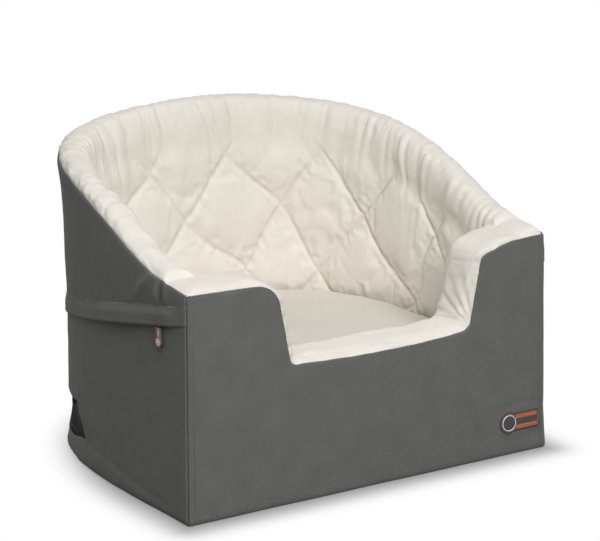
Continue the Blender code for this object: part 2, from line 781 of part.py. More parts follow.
def make_front_liner(plush):
    """Padded cap over the front wall, joined to the flat lining of its inner face."""
    half_span = HALF_WIDTH - INNER
    near = FRONT + INNER
    depth = CAP_DEPTH - INNER
    edges = [notch_line(CAP_CROWN * rise - FOAM_DROP + GAP, half_span) for _, rise in CAP_SECTION_SHARES]
    rings = []
    for k in range(len(edges[0])):
        ring = []
        for (along, rise), edge in zip(CAP_SECTION_SHARES, edges):
            x, z = edge[k]
            reach = INNER + depth * along
            side = max(1 - (half_span - abs(x)) / CAP_LIFT_WIDTH, 0) if rise else 0
            ring.append((x, FRONT + reach, z + (rim_height(reach) - FRONT_HEIGHT) * side))
        rings.append(ring)
    cap = loft("front_liner", plush, rings, smooth=True)
    start = near + FRONT_FOAM_THICKNESS + GAP
    end = FRONT + CAP_DEPTH - GAP
    low_half = HALF_WIDTH - LINER_BASE_INSET
    high_half = HALF_WIDTH - INNER - FOAM_BASE_THICKNESS - GAP
    line = notch_line(-FOAM_DROP + CAP_CROWN * CAP_LINING_SHARE, high_half)
    outline = [(-low_half, LINER_FLOOR)] + line + [(low_half, LINER_FLOOR)]
    panel = loft("panel", plush, [[(x, y, z) for x, z in outline] for y in (start, end)])
    apply_boolean(cap, "UNION", panel)


def pad_edge(recess):
    """The floor pad's outline from above, with a recess at the middle of its back."""
    inset = LINER_BASE_INSET + QUILT_PUFF + PAD_CLEARANCE
    start = CAP_DEPTH + PAD_CLEARANCE
    middle = TOTAL / 2
    steps = 4
    fine = [middle + PAD_RECESS_HALF_WIDTH * k / steps for k in range(-steps, steps + 1)]
    coarse = [arc for arc in arcs_between(start, TOTAL - start)
              if abs(arc - middle) > PAD_RECESS_HALF_WIDTH + GAP]
    edge = []
    for arc in sorted(fine + coarse):
        x, y = wall_point(arc, inset)
        across = min(abs(arc - middle) / PAD_RECESS_HALF_WIDTH, 1)
        edge.append(Vector((x, y - recess * (1 - across ** 3))))
    low_x, high_x = edge[0].x, edge[-1].x
    count = round((high_x - low_x) / QUILT_STEP / 2)
    return edge + [Vector((high_x + (low_x - high_x) * k / count, edge[0].y)) for k in range(1, count)]


def make_pad(plush):
    """Crowned floor pad with drawn-in edges and a recess for the tether ring."""
    rings = []
    for draw, side, crown, recess in PAD_SECTION_SHARES:
        z = LINER_FLOOR + PAD_THICKNESS * side + PAD_CROWN * crown
        edge = pad_edge(PAD_RECESS_DEPTH * recess)
        centre = Vector((0, (edge[0].y + max(point.y for point in edge)) / 2))
        ring = []
        for point in edge:
            reach = point - centre
            ring.append((*(centre + reach * (1 - PAD_EDGE_DRAW * draw / reach.length)), z))
        rings.append(ring)
    loft("floor_pad", plush, rings, smooth=True)


# Tether

def tether_axis():
    """Middle of the ring's straight bar."""
    inset = LINER_BASE_INSET + QUILT_PUFF + LOOP_STANDOFF + WEBBING + RING_WIRE / 2 + GAP
    return Vector((0, DEPTH / 2 - inset, RING_HEIGHT))


def make_tether(webbing, metal):
    """Folded webbing that stands on the platform, and the ring through its fold."""
    axis = tether_axis()
    inside = RING_WIRE / 2 + GAP
    outside = inside + WEBBING
    turns = 6
    line = [(-outside, LINER_FLOOR - axis.z)]
    arc = [(math.cos(math.pi * k / turns), math.sin(math.pi * k / turns)) for k in range(turns + 1)]
    line += [(-outside * cosine, outside * sine) for cosine, sine in arc]
    line += [(outside, LINER_FLOOR - axis.z), (inside, LINER_FLOOR - axis.z)]
    line += [(inside * cosine, inside * sine) for cosine, sine in arc]
    line += [(-inside, LINER_FLOOR - axis.z)]
    ends = (-LOOP_WIDTH / 2, LOOP_WIDTH / 2)
    rings = [[(x, axis.y + y, axis.z + z) for y, z in line] for x in ends]
    loft("tether_loop", webbing, rings)

    tilt = math.asin((outside + RING_WIRE / 2 + RING_REST) / (RING_DROP - RING_WIRE))
    half = RING_WIDTH / 2 - RING_WIRE / 2
    drop = RING_DROP - RING_WIRE / 2
    straights, bends, sides = 6, 12, 8
    path = [Vector((half * (2 * k / straights - 1), 0)) for k in range(straights)]
    for k in range(bends):
        angle = math.pi * k / bends
        path.append(Vector((half * math.cos(angle), -drop * math.sin(angle) ** RING_BEND_SHARE)))
    rings = []
    count = len(path)
    for k, point in enumerate(path):
        ahead = (path[(k + 1) % count] - path[k - 1]).normalized()
        normal = Vector((ahead.y, -ahead.x))
        ring = []
        for step in range(sides):
            angle = 2 * math.pi * (step + 0.5) / sides
            flat = point + normal * RING_WIRE / 2 * math.cos(angle)
            depth = RING_WIRE / 2 * math.sin(angle)
            y = flat.y * math.sin(tilt) + depth * math.cos(tilt)
            z = flat.y * math.cos(tilt) - depth * math.sin(tilt)
            ring.append((flat.x, axis.y + y, axis.z + z))
        rings.append(ring)
    loft("tether_ring", metal, rings, closed=True, smooth=True)
    frame_parent("ring_axis", axis, ("tether_ring",))


# Badge

def badge_outline(margin):
    """Rounded rectangle on the front, as (x, z)."""
    right = HALF_WIDTH - BADGE_SIDE + BADGE_WIDTH / 2 - margin
    left = right - BADGE_WIDTH + margin * 2
    low, high = BADGE_LEVEL - BADGE_HEIGHT / 2 + margin, BADGE_LEVEL + BADGE_HEIGHT / 2 - margin
    radius = BADGE_RADIUS - margin
    points = []
    for x, z, first in ((right, high, 0), (left, high, 1), (left, low, 2), (right, low, 3)):
        centre_x = x - radius if x == right else x + radius
        centre_z = z - radius if z == high else z + radius
        for k in range(5):
            angle = math.pi / 2 * (first + k / 4)
            points.append((centre_x + radius * math.cos(angle), centre_z + radius * math.sin(angle)))
    return points


def make_badge(rubber, copper):
    back = FRONT - GAP
    face = back - BADGE_THICKNESS
    loft("badge", rubber, [[(x, y, z) for x, z in badge_outline(0)] for y in (back, face)])
    rim_back, rim_face = face - GAP, face - GAP - INLAY_THICKNESS
    outer, inner = badge_outline(BADGE_MARGIN), badge_outline(BADGE_MARGIN + BADGE_RIM)
    rings = []
    for (ox, oz), (ix, iz) in zip(outer, inner):
        rings.append([(ox, rim_back, oz), (ox, rim_face, oz), (ix, rim_face, iz), (ix, rim_back, iz)])
    loft("badge_border", copper, rings, closed=True)


def build():
    clear_scene()
    cloth = finish("grey_cloth", (0.125, 0.128, 0.120), 0.85)
    plush = finish("cream_plush", (0.80, 0.77, 0.70), 0.95)
    foam = finish("foam", (0.75, 0.72, 0.60), 0.90)
    board = finish("board", (0.05, 0.05, 0.05), 0.60)
    lining = finish("black_lining", (0.012, 0.012, 0.012), 0.80)
    tape = finish("zip_tape", (0.05, 0.05, 0.05), 0.90)
    teeth = finish("zip_teeth", (0.03, 0.03, 0.03), 0.50)
    metal = finish("zip_metal", (0.10, 0.10, 0.10), 0.40, 1.0)
    rubber = finish("dark_rubber", (0.030, 0.030, 0.032), 0.60)
    copper = finish("copper_rubber", (0.45, 0.13, 0.05), 0.45)
    webbing = finish("black_webbing", (0.02, 0.02, 0.02), 0.85)
    steel = finish("ring_steel", (0.60, 0.60, 0.60), 0.25, 1.0)
    make_cover(cloth)
    make_zip(cloth, tape, teeth, metal)
    make_slider(metal)
    make_link(metal)
    make_tab(rubber, copper)
    make_inside(foam, board, lining)
    make_liner(plush)
    make_pad(plush)
    make_tether(webbing, steel)
    make_badge(rubber, copper)


build()
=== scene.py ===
"""Dog car seat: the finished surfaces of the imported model.

X runs to the seat's right, Y to its back and Z up, in metres. Cover, lining and trim follow one
line seen from above, the cover's outer face. A place on the wall is its arc length u along that
line from the left front corner, its inset from it and its height z.
"""

import math

import bpy
import numpy as np
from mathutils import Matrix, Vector


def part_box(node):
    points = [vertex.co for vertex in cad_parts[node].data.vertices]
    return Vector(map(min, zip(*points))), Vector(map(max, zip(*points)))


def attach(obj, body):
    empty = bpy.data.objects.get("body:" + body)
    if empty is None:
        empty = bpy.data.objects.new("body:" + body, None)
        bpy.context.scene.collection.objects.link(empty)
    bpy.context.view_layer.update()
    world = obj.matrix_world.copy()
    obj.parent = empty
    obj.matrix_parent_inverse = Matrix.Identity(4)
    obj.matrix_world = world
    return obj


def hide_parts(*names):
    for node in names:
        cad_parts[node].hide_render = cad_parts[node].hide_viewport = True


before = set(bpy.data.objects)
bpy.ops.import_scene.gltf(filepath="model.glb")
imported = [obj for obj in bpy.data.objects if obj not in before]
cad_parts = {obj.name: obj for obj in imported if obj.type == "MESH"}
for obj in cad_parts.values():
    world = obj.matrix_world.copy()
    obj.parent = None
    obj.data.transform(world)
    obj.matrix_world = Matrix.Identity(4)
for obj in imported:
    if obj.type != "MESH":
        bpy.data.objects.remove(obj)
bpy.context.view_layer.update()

# Sizes read from the frame
FOOT_LOW, FOOT_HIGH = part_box("bottom_cover")
HALF_WIDTH = FOOT_HIGH.x
FRONT, BACK = FOOT_LOW.y, FOOT_HIGH.y
RIM_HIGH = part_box("upper_cover")[1].z
FRONT_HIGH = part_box("front_cover")[1].z
PAD_LOW, PAD_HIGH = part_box("floor_pad")
FLOOR = PAD_LOW.z

# The wall's line, and the height of its rim as shares of the way round and of the rise
SIDE_STRAIGHT = 0.140
BACK_REACH = BACK - FRONT - SIDE_STRAIGHT
RIM_RISE = ((0, 0), (0.07, 0.045), (0.14, 0.11), (0.21, 0.24), (0.28, 0.40), (0.36, 0.55),
            (0.45, 0.69), (0.60, 0.83), (0.80, 0.94), (1, 1))

# Corner seams: the cover's rounding, where its side piece starts, and its edge turned in there
CORNER = 0.007
SEAM_U = CORNER * (1 - math.pi / 4)
SEAM_X = HALF_WIDTH - CORNER * (1 - math.sqrt(0.5))
COVER_START = SEAM_U + 0.0011
SEAM_TURN, SEAM_TURN_REACH = 0.0022, 0.0007

# Layers, as insets from the cover's face
SKIN = 0.0024
THIN_CLOTH = 0.0012
INNER = 0.0027
LINER_TOP, LINER_BASE = 0.044, 0.066
FOAM_TOP, FOAM_BASE = 0.0362, 0.0502
CAP_DEPTH, CAP_CROWN = 0.080, 0.0125
FOOT_RISE, FOOT_INSET = 0.0075, 0.0050
COVER_FOOT = 0.0012

# Notch
NOTCH_HEIGHT, NOTCH_HALF, NOTCH_SHIFT, NOTCH_LEAN = 0.200, 0.1515, 0.0145, 0.20
NOTCH_RADIUS_LEFT, NOTCH_RADIUS_RIGHT, NOTCH_RADIUS_LOW = 0.034, 0.022, 0.016
SHOULDER_DROP = 0.004
FOAM_DROP = 0.0057

# Zip and flap
ZIP_HIGH = FRONT_HIGH - 0.029
ZIP_FALL = 0.20
ZIP_HALF = 0.009
ZIP_END, TOOTH_PITCH = 0.0585, 0.0021
TAPE_NEAR, TAPE_FAR, TAPE_WIDTH = 0.0018, 0.0112, 0.0100
FLAP_DROP, FLAP_RISE = 0.012, 0.016
PULLER_PIVOT_Z = 0.2664

# Belt windows, sleeve and channel
WINDOW_LOW, WINDOW_HIGH = 0.040, 0.096
WINDOW_CENTRE, WINDOW_TALL = (WINDOW_LOW + WINDOW_HIGH) / 2, WINDOW_HIGH - WINDOW_LOW
WINDOW_MIDDLE, WINDOW_SLANT = 0.3155, 0.037
WINDOW_ROW, WINDOW_ROWS = 25, 12
SLEEVE_START, SLEEVE_MARGIN = 0.490, 0.012
CHANNEL_START, CHANNEL_FULL, CHANNEL_DEPTH = 0.285, 0.400, 0.010

# Quilting: the pattern's cell and one of its crossings; then where sewn crossings lie along the
# lining and up it, and how far each is from its place in an even pattern
SEAM_CELL = (0.0775, 0.094)
SEAM_NODE = (-0.020, 0.286)
SEAM_GAP = 2 * SEAM_CELL[0] * SEAM_CELL[1] / math.hypot(*SEAM_CELL)
SEAM_SHIFTS = ((0.085, 0.200, 0.0275, 0.008), (0.148, 0.295, 0.013, 0.009),
               (-0.077, 0.366, 0.0205, -0.014), (0.417, 0.175, 0.0495, -0.017))
SHIFT_SPREAD = 0.045

# How far the wall lining runs in under the front cap
LINING_TUCK = 0.022

# Rows of the lining's section, and of the cap's
ROLL_ROWS, WALL_ROWS = 22, 48
CAP_ROWS, CAP_FOOT_ROWS = 24, 7
TOP_ROW = 22

# Tether
TETHER_AXIS_Z = 0.193
RING_WIRE, RING_REACH = 0.0020, 0.022

# How the soft box has settled. At each height: how far its rear corners are drawn in, and how far
# its right front corner stands out. From left to right: how far the front's top edge has sunk.
REAR_CENTRE, REAR_WAY, REAR_SPREAD = (-0.27, 0.15), (0.8327, -0.5537), 0.14
REAR_DRAW = ((0, .0030), (.014, .0012), (.03, .0044), (.045, .0062), (.06, .0074), (.075, .0052),
             (.096, .0060), (.133, .0068), (.152, .0070), (.17, .0064), (.223, .0064),
             (.26, .0060), (.313, .0056), (.35, .0044), (.367, .0036), (.385, .0020),
             (.403, -.0008), (.42, -.0036), (.44, -.0036), (.47, -.0030))
FRONT_SPREAD = 0.12
FRONT_OUT = ((0, .0053), (.024, .0036), (.042, .0020), (.06, .0005), (.135, -.0015),
             (.225, -.0039), (.32, -.0062), (.36, -.0065))
FRONT_SINK = ((-.20, .0006), (-.187, .0015), (-.173, .0028), (-.160, .0038), (-.148, .0034),
              (-.130, 0), (-.119, -.0006), (-.098, .0004), (-.078, .0018), (-.057, .0023),
              (-.037, .0032), (-.016, .0036), (.045, .0038), (.086, .0031), (.107, .0018),
              (.128, .0008), (.148, -.0010), (.169, -.0034), (.184, .0030), (.195, .0080),
              (.203, .0096), (.211, .0088), (.220, .0056), (.228, .0034), (.237, .0020),
              (.245, .0010), (.280, .0005))
FRONT_SINK_REACH, FRONT_SINK_EDGE = 0.050, 0.003


# Curves and masks

def bump(x, width):
    return np.exp(-(np.asarray(x) / width) ** 2)


def fade(x, reach):
    return np.exp(-x / reach)


def ease(x, low, high):
    t = np.clip((x - low) / (high - low), 0, 1)
    return t * t * (3 - 2 * t)


def between(x, start, full, last, end):
    """1 from full to last, easing to 0 at start and at end."""
    return ease(x, start, full) * (1 - ease(x, last, end))


def arch(t):
    """A quarter circle's rise from 0 to 1, for t from 0 to 1."""
    return 1 - (1 - np.clip(t, 0, 1)) ** 2


def shares(count, power):
    """Values from 0 to 1, closer together at both ends as power grows from 1."""
    t = np.linspace(0, 1, count)
    return t ** power / (t ** power + (1 - t) ** power)


def unit(vectors):
    return vectors / np.maximum(np.linalg.norm(vectors, axis=-1, keepdims=True), 1e-12)


def lengths(line):
    """Arc length from a line's start to each of its points."""
    return np.concatenate([[0], np.cumsum(np.linalg.norm(np.diff(line, axis=0), axis=1))])


def sample(line, at):
    """A line's points at given arc lengths."""
    reach = lengths(line)
    return np.stack([np.interp(at, reach, column) for column in line.T], -1)


def smooth_loop(points, count):
    """A closed loop resampled at even steps."""
    loop = np.vstack([points, points[:1]])
    return sample(loop, np.linspace(0, lengths(loop)[-1], count, endpoint=False))


def evened(points, times, axis=0, weight=1.0):
    """Points of a loop drawn towards their neighbours, by a weight at each."""
    for _ in range(times):
        even = (np.roll(points, 1, axis) + 2 * points + np.roll(points, -1, axis)) / 4
        points = points + (even - points) * weight
    return points


# Shapes along the wall

def wall_table(corner, turn):
    """Rows of arc length, x, y and outward direction along the wall's line, between the front
    corners; each is rounded by a radius over the given angles."""
    angle = math.pi / 2 * shares(1601, 1.5)
    x = -HALF_WIDTH * np.maximum(np.cos(angle), 0) ** (2 / 3)
    y = FRONT + SIDE_STRAIGHT + BACK_REACH * np.sin(angle) ** (2 / 3)
    x[-1] = 0
    across = -(np.abs(x) / HALF_WIDTH) ** 2 / HALF_WIDTH
    along = ((y - FRONT - SIDE_STRAIGHT) / BACK_REACH) ** 2 / BACK_REACH
    size = np.hypot(across, along)
    starts = (corner * (1 - math.pi / 2 + turn), -HALF_WIDTH + corner * (1 - np.sin(turn)),
              FRONT + corner * (1 - np.cos(turn)), -np.sin(turn), -np.cos(turn))
    rest = (SIDE_STRAIGHT + lengths(np.stack([x, y], -1)), x, y, across / size, along / size)
    half = np.array([np.concatenate(pair) for pair in zip(starts, rest)])
    other = half[:, -2::-1] * np.array([-1, -1, 1, -1, 1])[:, None]
    other[0] += 2 * half[0, -1]
    return np.concatenate([half, other], 1)


PLAIN = wall_table(0.0, np.array([math.pi / 2]))
WRAPPED = wall_table(CORNER, np.linspace(math.pi / 4, math.pi / 2, 16))
TOTAL = PLAIN[0, -1]


def place(u, inset, z, wrapped=False):
    """Points on the wall; wrapped follows the cover round the front corners."""
    u, inset, z = np.broadcast_arrays(np.asarray(u, float), inset, z)
    table = WRAPPED if wrapped else PLAIN
    x, y, nx, ny = (np.interp(u, table[0], row) for row in table[1:])
    size = np.hypot(nx, ny)
    return np.stack([x - nx / size * inset, y - ny / size * inset, z], -1)


def to_corner(u):
    """Arc length to the nearer front corner."""
    return np.minimum(u, TOTAL - u)


def rim_height(u):
    """Height of the cover's top edge: a smooth curve through RIM_RISE."""
    share = np.clip(to_corner(u) / (TOTAL / 2), 0, 1)
    at, rise = (np.array(row, float) for row in zip(*RIM_RISE))
    middle = (rise[2:] - rise[:-2]) / (at[2:] - at[:-2])
    slope = np.concatenate([[rise[1] / at[1]], middle, [0]])
    k = np.clip(np.searchsorted(at, share, side="right") - 1, 0, len(at) - 2)
    span = at[k + 1] - at[k]
    t = (share - at[k]) / span
    value = ((1 + 2 * t) * (1 - t) ** 2 * rise[k] + t * (1 - t) ** 2 * span * slope[k]
             + t * t * (3 - 2 * t) * rise[k + 1] - t * t * (1 - t) * span * slope[k + 1])
    return FRONT_HIGH + (RIM_HIGH - FRONT_HIGH) * value


def zip_height(u):
    return ZIP_HIGH - ZIP_FALL * (np.interp(u, PLAIN[0], PLAIN[2]) - FRONT)


def lining_reach(u):
    """Arc length along the lining's face from the middle of the back, the left side negative."""
    fine = np.linspace(0, TOTAL, 3001)
    reach = lengths(place(fine, LINER_TOP, 0))
    return np.interp(u, fine, reach - reach[-1] / 2)


def rounded(corners, steps=14):
    """A line through corners (x, z, radius), with each corner turned into an arc."""
    line = []
    for k, (x, z, radius) in enumerate(corners):
        if not radius:
            line.append((x, z))
            continue
        here = Vector((x, z))
        back = (Vector(corners[k - 1][:2]) - here).normalized()
        ahead = (Vector(corners[k + 1][:2]) - here).normalized()
        half = back.angle(ahead) / 2
        centre = here + (back + ahead).normalized() * radius / math.sin(half)
        start = here + back * radius / math.tan(half) - centre
        end = here + ahead * radius / math.tan(half) - centre
        turn = math.atan2(start.x * end.y - start.y * end.x, start.dot(end))
        for step in range(steps + 1):
            cosine, sine = math.cos(turn * step / steps), math.sin(turn * step / steps)
            line.append((centre.x + start.x * cosine - start.y * sine,
                         centre.y + start.x * sine + start.y * cosine))
    return np.array(line)


def notch_corners(raise_by, half_span):
    """Top edge of the front wall, moved towards the open side."""
    half = NOTCH_HALF - raise_by
    floor = NOTCH_HEIGHT + raise_by
    shoulder = FRONT_HIGH - SHOULDER_DROP + raise_by
    spread = half + (shoulder - floor) * NOTCH_LEAN
    low = NOTCH_RADIUS_LOW - raise_by
    return rounded([
        (-half_span, FRONT_HIGH + raise_by, 0),
        (NOTCH_SHIFT - spread, shoulder, NOTCH_RADIUS_LEFT + raise_by),
        (NOTCH_SHIFT - half, floor, low), (NOTCH_SHIFT + half, floor, low),
        (NOTCH_SHIFT + spread, shoulder, NOTCH_RADIUS_RIGHT + raise_by),
        (half_span, FRONT_HIGH + raise_by, 0)])


def notch_line(raise_by, half_span, step):
    """The notch's line at even steps, as many of them whatever it is raised by."""
    base = notch_corners(0, half_span)
    reach = lengths(base)
    at = np.linspace(0, reach[-1], round(reach[-1] / step) + 1)
    at = np.interp(at, reach, np.arange(len(base)))
    line = notch_corners(raise_by, half_span)
    return np.stack([np.interp(at, np.arange(len(line)), column) for column in line.T], -1)


def settle(points):
    """Moves points as the soft box has settled."""
    x, y, z = points.T
    away = np.minimum(np.abs(z - NOTCH_HEIGHT), np.abs(z - FRONT_HIGH + FRONT_SINK_EDGE))
    sink = np.interp(x, *zip(*FRONT_SINK)) * bump(away, FRONT_SINK_REACH)
    sink *= 1 - ease(y, FRONT + 0.030, FRONT + 0.120)
    draw = np.interp(z, *zip(*REAR_DRAW))
    moved = points.copy()
    for side in (1, -1):
        near = bump(np.hypot(x * side - REAR_CENTRE[0], y - REAR_CENTRE[1]), REAR_SPREAD)
        moved[:, 0] += side * REAR_WAY[0] * draw * near
        moved[:, 1] += REAR_WAY[1] * draw * near
    near = bump(np.hypot(x - HALF_WIDTH, y - FRONT), FRONT_SPREAD)
    moved[:, 0] += np.interp(z, *zip(*FRONT_OUT)) * near
    moved[:, 2] -= sink
    return moved


# Noise

def noise(x, y, seed):
    """Smooth noise from -1 to 1 over a plane, with a step of 1."""
    x, y = np.broadcast_arrays(np.asarray(x, float), np.asarray(y, float))
    ix, iy = np.floor(x).astype(np.int64), np.floor(y).astype(np.int64)
    sx, sy = ease(x - ix, 0, 1), ease(y - iy, 0, 1)

    def corner(dx, dy):
        n = ((ix + dx) * 374761393 + (iy + dy) * 668265263 + seed * 974711) & 0x7FFFFFFF
        n = ((n ^ (n >> 13)) * 1274126177) & 0x7FFFFFFF
        return ((n ^ (n >> 16)) & 0xFFFF) / 32767.5 - 1

    low = corner(0, 0) * (1 - sx) + corner(1, 0) * sx
    high = corner(0, 1) * (1 - sx) + corner(1, 1) * sx
    return low * (1 - sy) + high * sy


def waves(x, y, *rows):
    """A sum of noises, each given as its size, its steps along x and y, and its seed."""
    return sum(size * noise(x / step_x, y / step_y, seed) for size, step_x, step_y, seed in rows)


def cloth_waves(u, z):
    """Soft unevenness of cloth over foam."""
    return waves(u, z, (0.0005, 0.075, 0.060, 3), (0.0003, 0.030, 0.026, 4),
                 (0.00012, 0.011, 0.012, 5))


def folds(x, y, seed):
    """Narrow ridges between wider hollows, from 0 to 1."""
    return (1 - np.abs(noise(x, y, seed))) ** 3


def puckers(x, y, seed, level=0.35):
    """Narrow ridges between wider hollows, about 0 on average."""
    return folds(x, y, seed) - level


def ridges(x, y, seed, power=0.8):
    """Soft folds between sharp creases, about 0 on average."""
    return np.abs(noise(x, y, seed)) ** power - 0.42


# Mesh making

def grid_normals(points, closed=False):
    """Normals of a grid of points; closed says that its second direction is a loop."""
    if closed:
        around = np.roll(points, -1, 1) - np.roll(points, 1, 1)
    else:
        around = np.gradient(points, axis=1)
    return unit(np.cross(around, np.gradient(points, axis=0)))


def link(item):
    bpy.context.scene.collection.objects.link(item)
    return item


def make_piece(name, points, faces, uvs, material):
    """A mesh object at the origin; uvs holds one pair for each corner of each face."""
    mesh = bpy.data.meshes.new(name)
    mesh.from_pydata(np.asarray(points).tolist(), [], [list(map(int, face)) for face in faces])
    layer = mesh.uv_layers.new(name="cloth")
    layer.data.foreach_set("uv", np.asarray(uvs, float).ravel())
    mesh.polygons.foreach_set("use_smooth", np.ones(len(mesh.polygons), bool))
    mesh.materials.append(material)
    mesh.update()
    return link(bpy.data.objects.new(name, mesh))


def signed_volume(points, faces):
    total = 0.0
    for face in faces:
        first = points[face[0]]
        for b, c in zip(face[1:-1], face[2:]):
            total += float(np.dot(first, np.cross(points[b], points[c])))
    return total / 6


def cloth_shell(name, outer, uv, material, thickness=SKIN, keep=None):
    """Closed cloth with rounded edges; cells of the grid where keep is False are left open."""
    rows, columns = outer.shape[:2]
    keep = np.ones((rows - 1, columns - 1), bool) if keep is None else keep
    flat, flat_normals = outer.reshape(-1, 3), grid_normals(outer).reshape(-1, 3)
    flat_uv = uv.reshape(-1, 2)
    count = len(flat)
    index = np.arange(count).reshape(rows, columns)
    quads = np.stack([index[:-1, :-1], index[:-1, 1:], index[1:, 1:], index[1:, :-1]], -1)[keep]
    edges = np.concatenate([quads[:, [n, (n + 1) % 4]] for n in range(4)])
    codes, reverse = edges @ (count, 1), edges @ (1, count)
    border = edges[~np.isin(codes, reverse)]
    a, b = border.T
    outward = np.zeros_like(flat)
    away = np.cross(unit(flat[b] - flat[a]), flat_normals[a])
    np.add.at(outward, a, away)
    np.add.at(outward, b, away)
    inner = flat - flat_normals * thickness
    middle = (flat + inner) / 2 + unit(outward) * min(thickness * 0.42, 0.0025)
    faces = np.concatenate([
        quads, quads[:, ::-1] + count,
        np.stack([b, a, a + 2 * count, b + 2 * count], -1),
        np.stack([b + 2 * count, a + 2 * count, a + count, b + count], -1)])
    points = np.concatenate([flat, inner, middle])
    used = np.unique(faces)
    lookup = np.zeros(len(points), int)
    lookup[used] = np.arange(len(used))
    all_uv = np.concatenate([flat_uv, flat_uv, flat_uv + 0.0005])
    return make_piece(name, points[used], lookup[faces], all_uv[faces.ravel()], material)


def loft(name, rings, material, joined=False, fan=True):
    """Loops of points joined in order into a closed skin, with UVs in metres along and around.
    Its ends are fans or single faces, or it is joined end to end."""
    rings = np.asarray(rings, float)
    n, m = rings.shape[:2]
    along = np.linalg.norm(np.diff(rings, axis=0), axis=-1).mean(1)
    along = np.concatenate([[0], np.cumsum(along)])
    around = np.linalg.norm(np.roll(rings, -1, 1) - rings, axis=-1).mean(0)
    around = np.concatenate([[0], np.cumsum(around)])
    if joined:
        along = np.append(along, along[-1] + np.linalg.norm(rings[0] - rings[-1], axis=-1).mean())
    points = rings.reshape(-1, 3)
    i, j = np.indices((n if joined else n - 1, m)).reshape(2, -1)
    far, side = (i + 1) % n, (j + 1) % m
    faces = np.stack([i * m + j, i * m + side, far * m + side, far * m + j], -1).tolist()
    uv = np.stack([np.stack([along[i + di], around[j + dj]], -1)
                   for di, dj in ((0, 0), (0, 1), (1, 1), (1, 0))], 1).reshape(-1, 2)
    if not joined:
        for ring, order in ((0, -1), (n - 1, 1)):
            loop = (ring * m + np.arange(m))[::order]
            if fan:
                centre = len(points)
                points = np.vstack([points, rings[ring].mean(0)])
                caps = [[int(p), int(q), centre] for p, q in zip(loop, np.roll(loop, -1))]
            else:
                caps = [loop.tolist()]
            for cap in caps:
                faces.append(cap)
                flat = points[cap] - points[cap].mean(0)
                uv = np.vstack([uv, flat[:, [0, 2]] + flat[:, [1, 1]]])
    if signed_volume(points, faces) < 0:
        start, turned = 0, []
        for face in faces:
            turned.append(uv[start:start + len(face)][::-1])
            start += len(face)
        uv = np.concatenate(turned)
        faces = [face[::-1] for face in faces]
    return make_piece(name, points, faces, uv, material)


def stacked(loop, layers, centre=(0, 0)):
    """Copies of a loop (x, y) about a centre, one for each layer's scale and height."""
    return [np.column_stack([centre + (loop - centre) * share, np.full(len(loop), z)])
            for share, z in layers]


def finer(grid):
    """A grid of loops with twice the points in both directions, smoothed."""
    tall = np.empty((2 * len(grid) - 1, *grid.shape[1:]))
    tall[::2], tall[1::2] = grid, (grid[1:] + grid[:-1]) / 2
    tall[2:-2:2] = (tall[1:-3:2] + 2 * tall[2:-2:2] + tall[3:-1:2]) / 4
    wide = np.empty((len(tall), 2 * grid.shape[1], *grid.shape[2:]))
    wide[:, ::2], wide[:, 1::2] = tall, (tall + np.roll(tall, -1, 1)) / 2
    wide[:, ::2] = (np.roll(wide[:, 1::2], 1, 1) + 2 * wide[:, ::2] + wide[:, 1::2]) / 4
    return wide


def refine(rings, along):
    """A padded skin at twice its fineness: points, arc lengths, row numbers, outward normals."""
    shape = rings.shape[:2]
    fine = finer(rings)
    fine_along = finer(np.broadcast_to(along, shape)[..., None])[..., 0]
    row = np.broadcast_to(np.arange(2 * shape[1])[None, :] / 2, fine_along.shape)
    normals = grid_normals(fine, closed=True)
    if np.sum(normals[:, TOP_ROW, 2]) < 0:
        normals = -normals
    return fine, fine_along, row, normals


def swell(name, rings, held, pressure, reach, slack, frames=18):
    """Lets a padded skin swell as cloth, by about reach at most, with its sewn points held."""
    item = loft(name, rings, CREAM)
    group = item.vertex_groups.new(name="held")
    weights = np.round(np.clip(held, 0, 1).ravel() * 20) / 20
    for weight in np.unique(weights):
        if weight:
            group.add(np.flatnonzero(weights == weight).tolist(), float(weight), "REPLACE")
    modifier = item.modifiers.new("cloth", "CLOTH")
    cloth = modifier.settings
    cloth.quality = 5
    cloth.mass = 0.15
    cloth.tension_stiffness = cloth.compression_stiffness = 12
    cloth.shear_stiffness = 4
    cloth.bending_stiffness = 0.25
    cloth.vertex_group_mass = "held"
    cloth.pin_stiffness = 3
    cloth.use_pressure = True
    cloth.uniform_pressure_force = pressure
    cloth.shrink_min = -slack
    cloth.effector_weights.gravity = 0
    modifier.collision_settings.use_collision = False
    modifier.point_cache.frame_end = frames
    scene = bpy.context.scene
    for number in range(1, frames + 1):
        scene.frame_set(number)
    mesh = item.evaluated_get(bpy.context.evaluated_depsgraph_get()).to_mesh()
    moved = np.empty(len(mesh.vertices) * 3)
    mesh.vertices.foreach_get("co", moved)
    moved = moved[:rings.size].reshape(rings.shape)
    bpy.data.objects.remove(item, do_unlink=True)
    scene.frame_set(1)
    shift = moved - rings
    size = np.linalg.norm(shift, axis=-1, keepdims=True)
    return rings + shift * np.tanh(size / reach) * reach / np.maximum(size, 1e-9)


# Materials

class Number:
    """A socket's number, for plain arithmetic in a node tree."""

    def __init__(self, socket):
        self.socket = socket

    def __add__(self, other):
        return maths("ADD", self, other)

    def __sub__(self, other):
        return maths("SUBTRACT", self, other)

    def __rsub__(self, other):
        return maths("SUBTRACT", other, self)

    def __mul__(self, other):
        return maths("MULTIPLY", self, other)

    def __truediv__(self, other):
        return maths("DIVIDE", self, other)

    def __rtruediv__(self, other):
        return maths("DIVIDE", other, self)


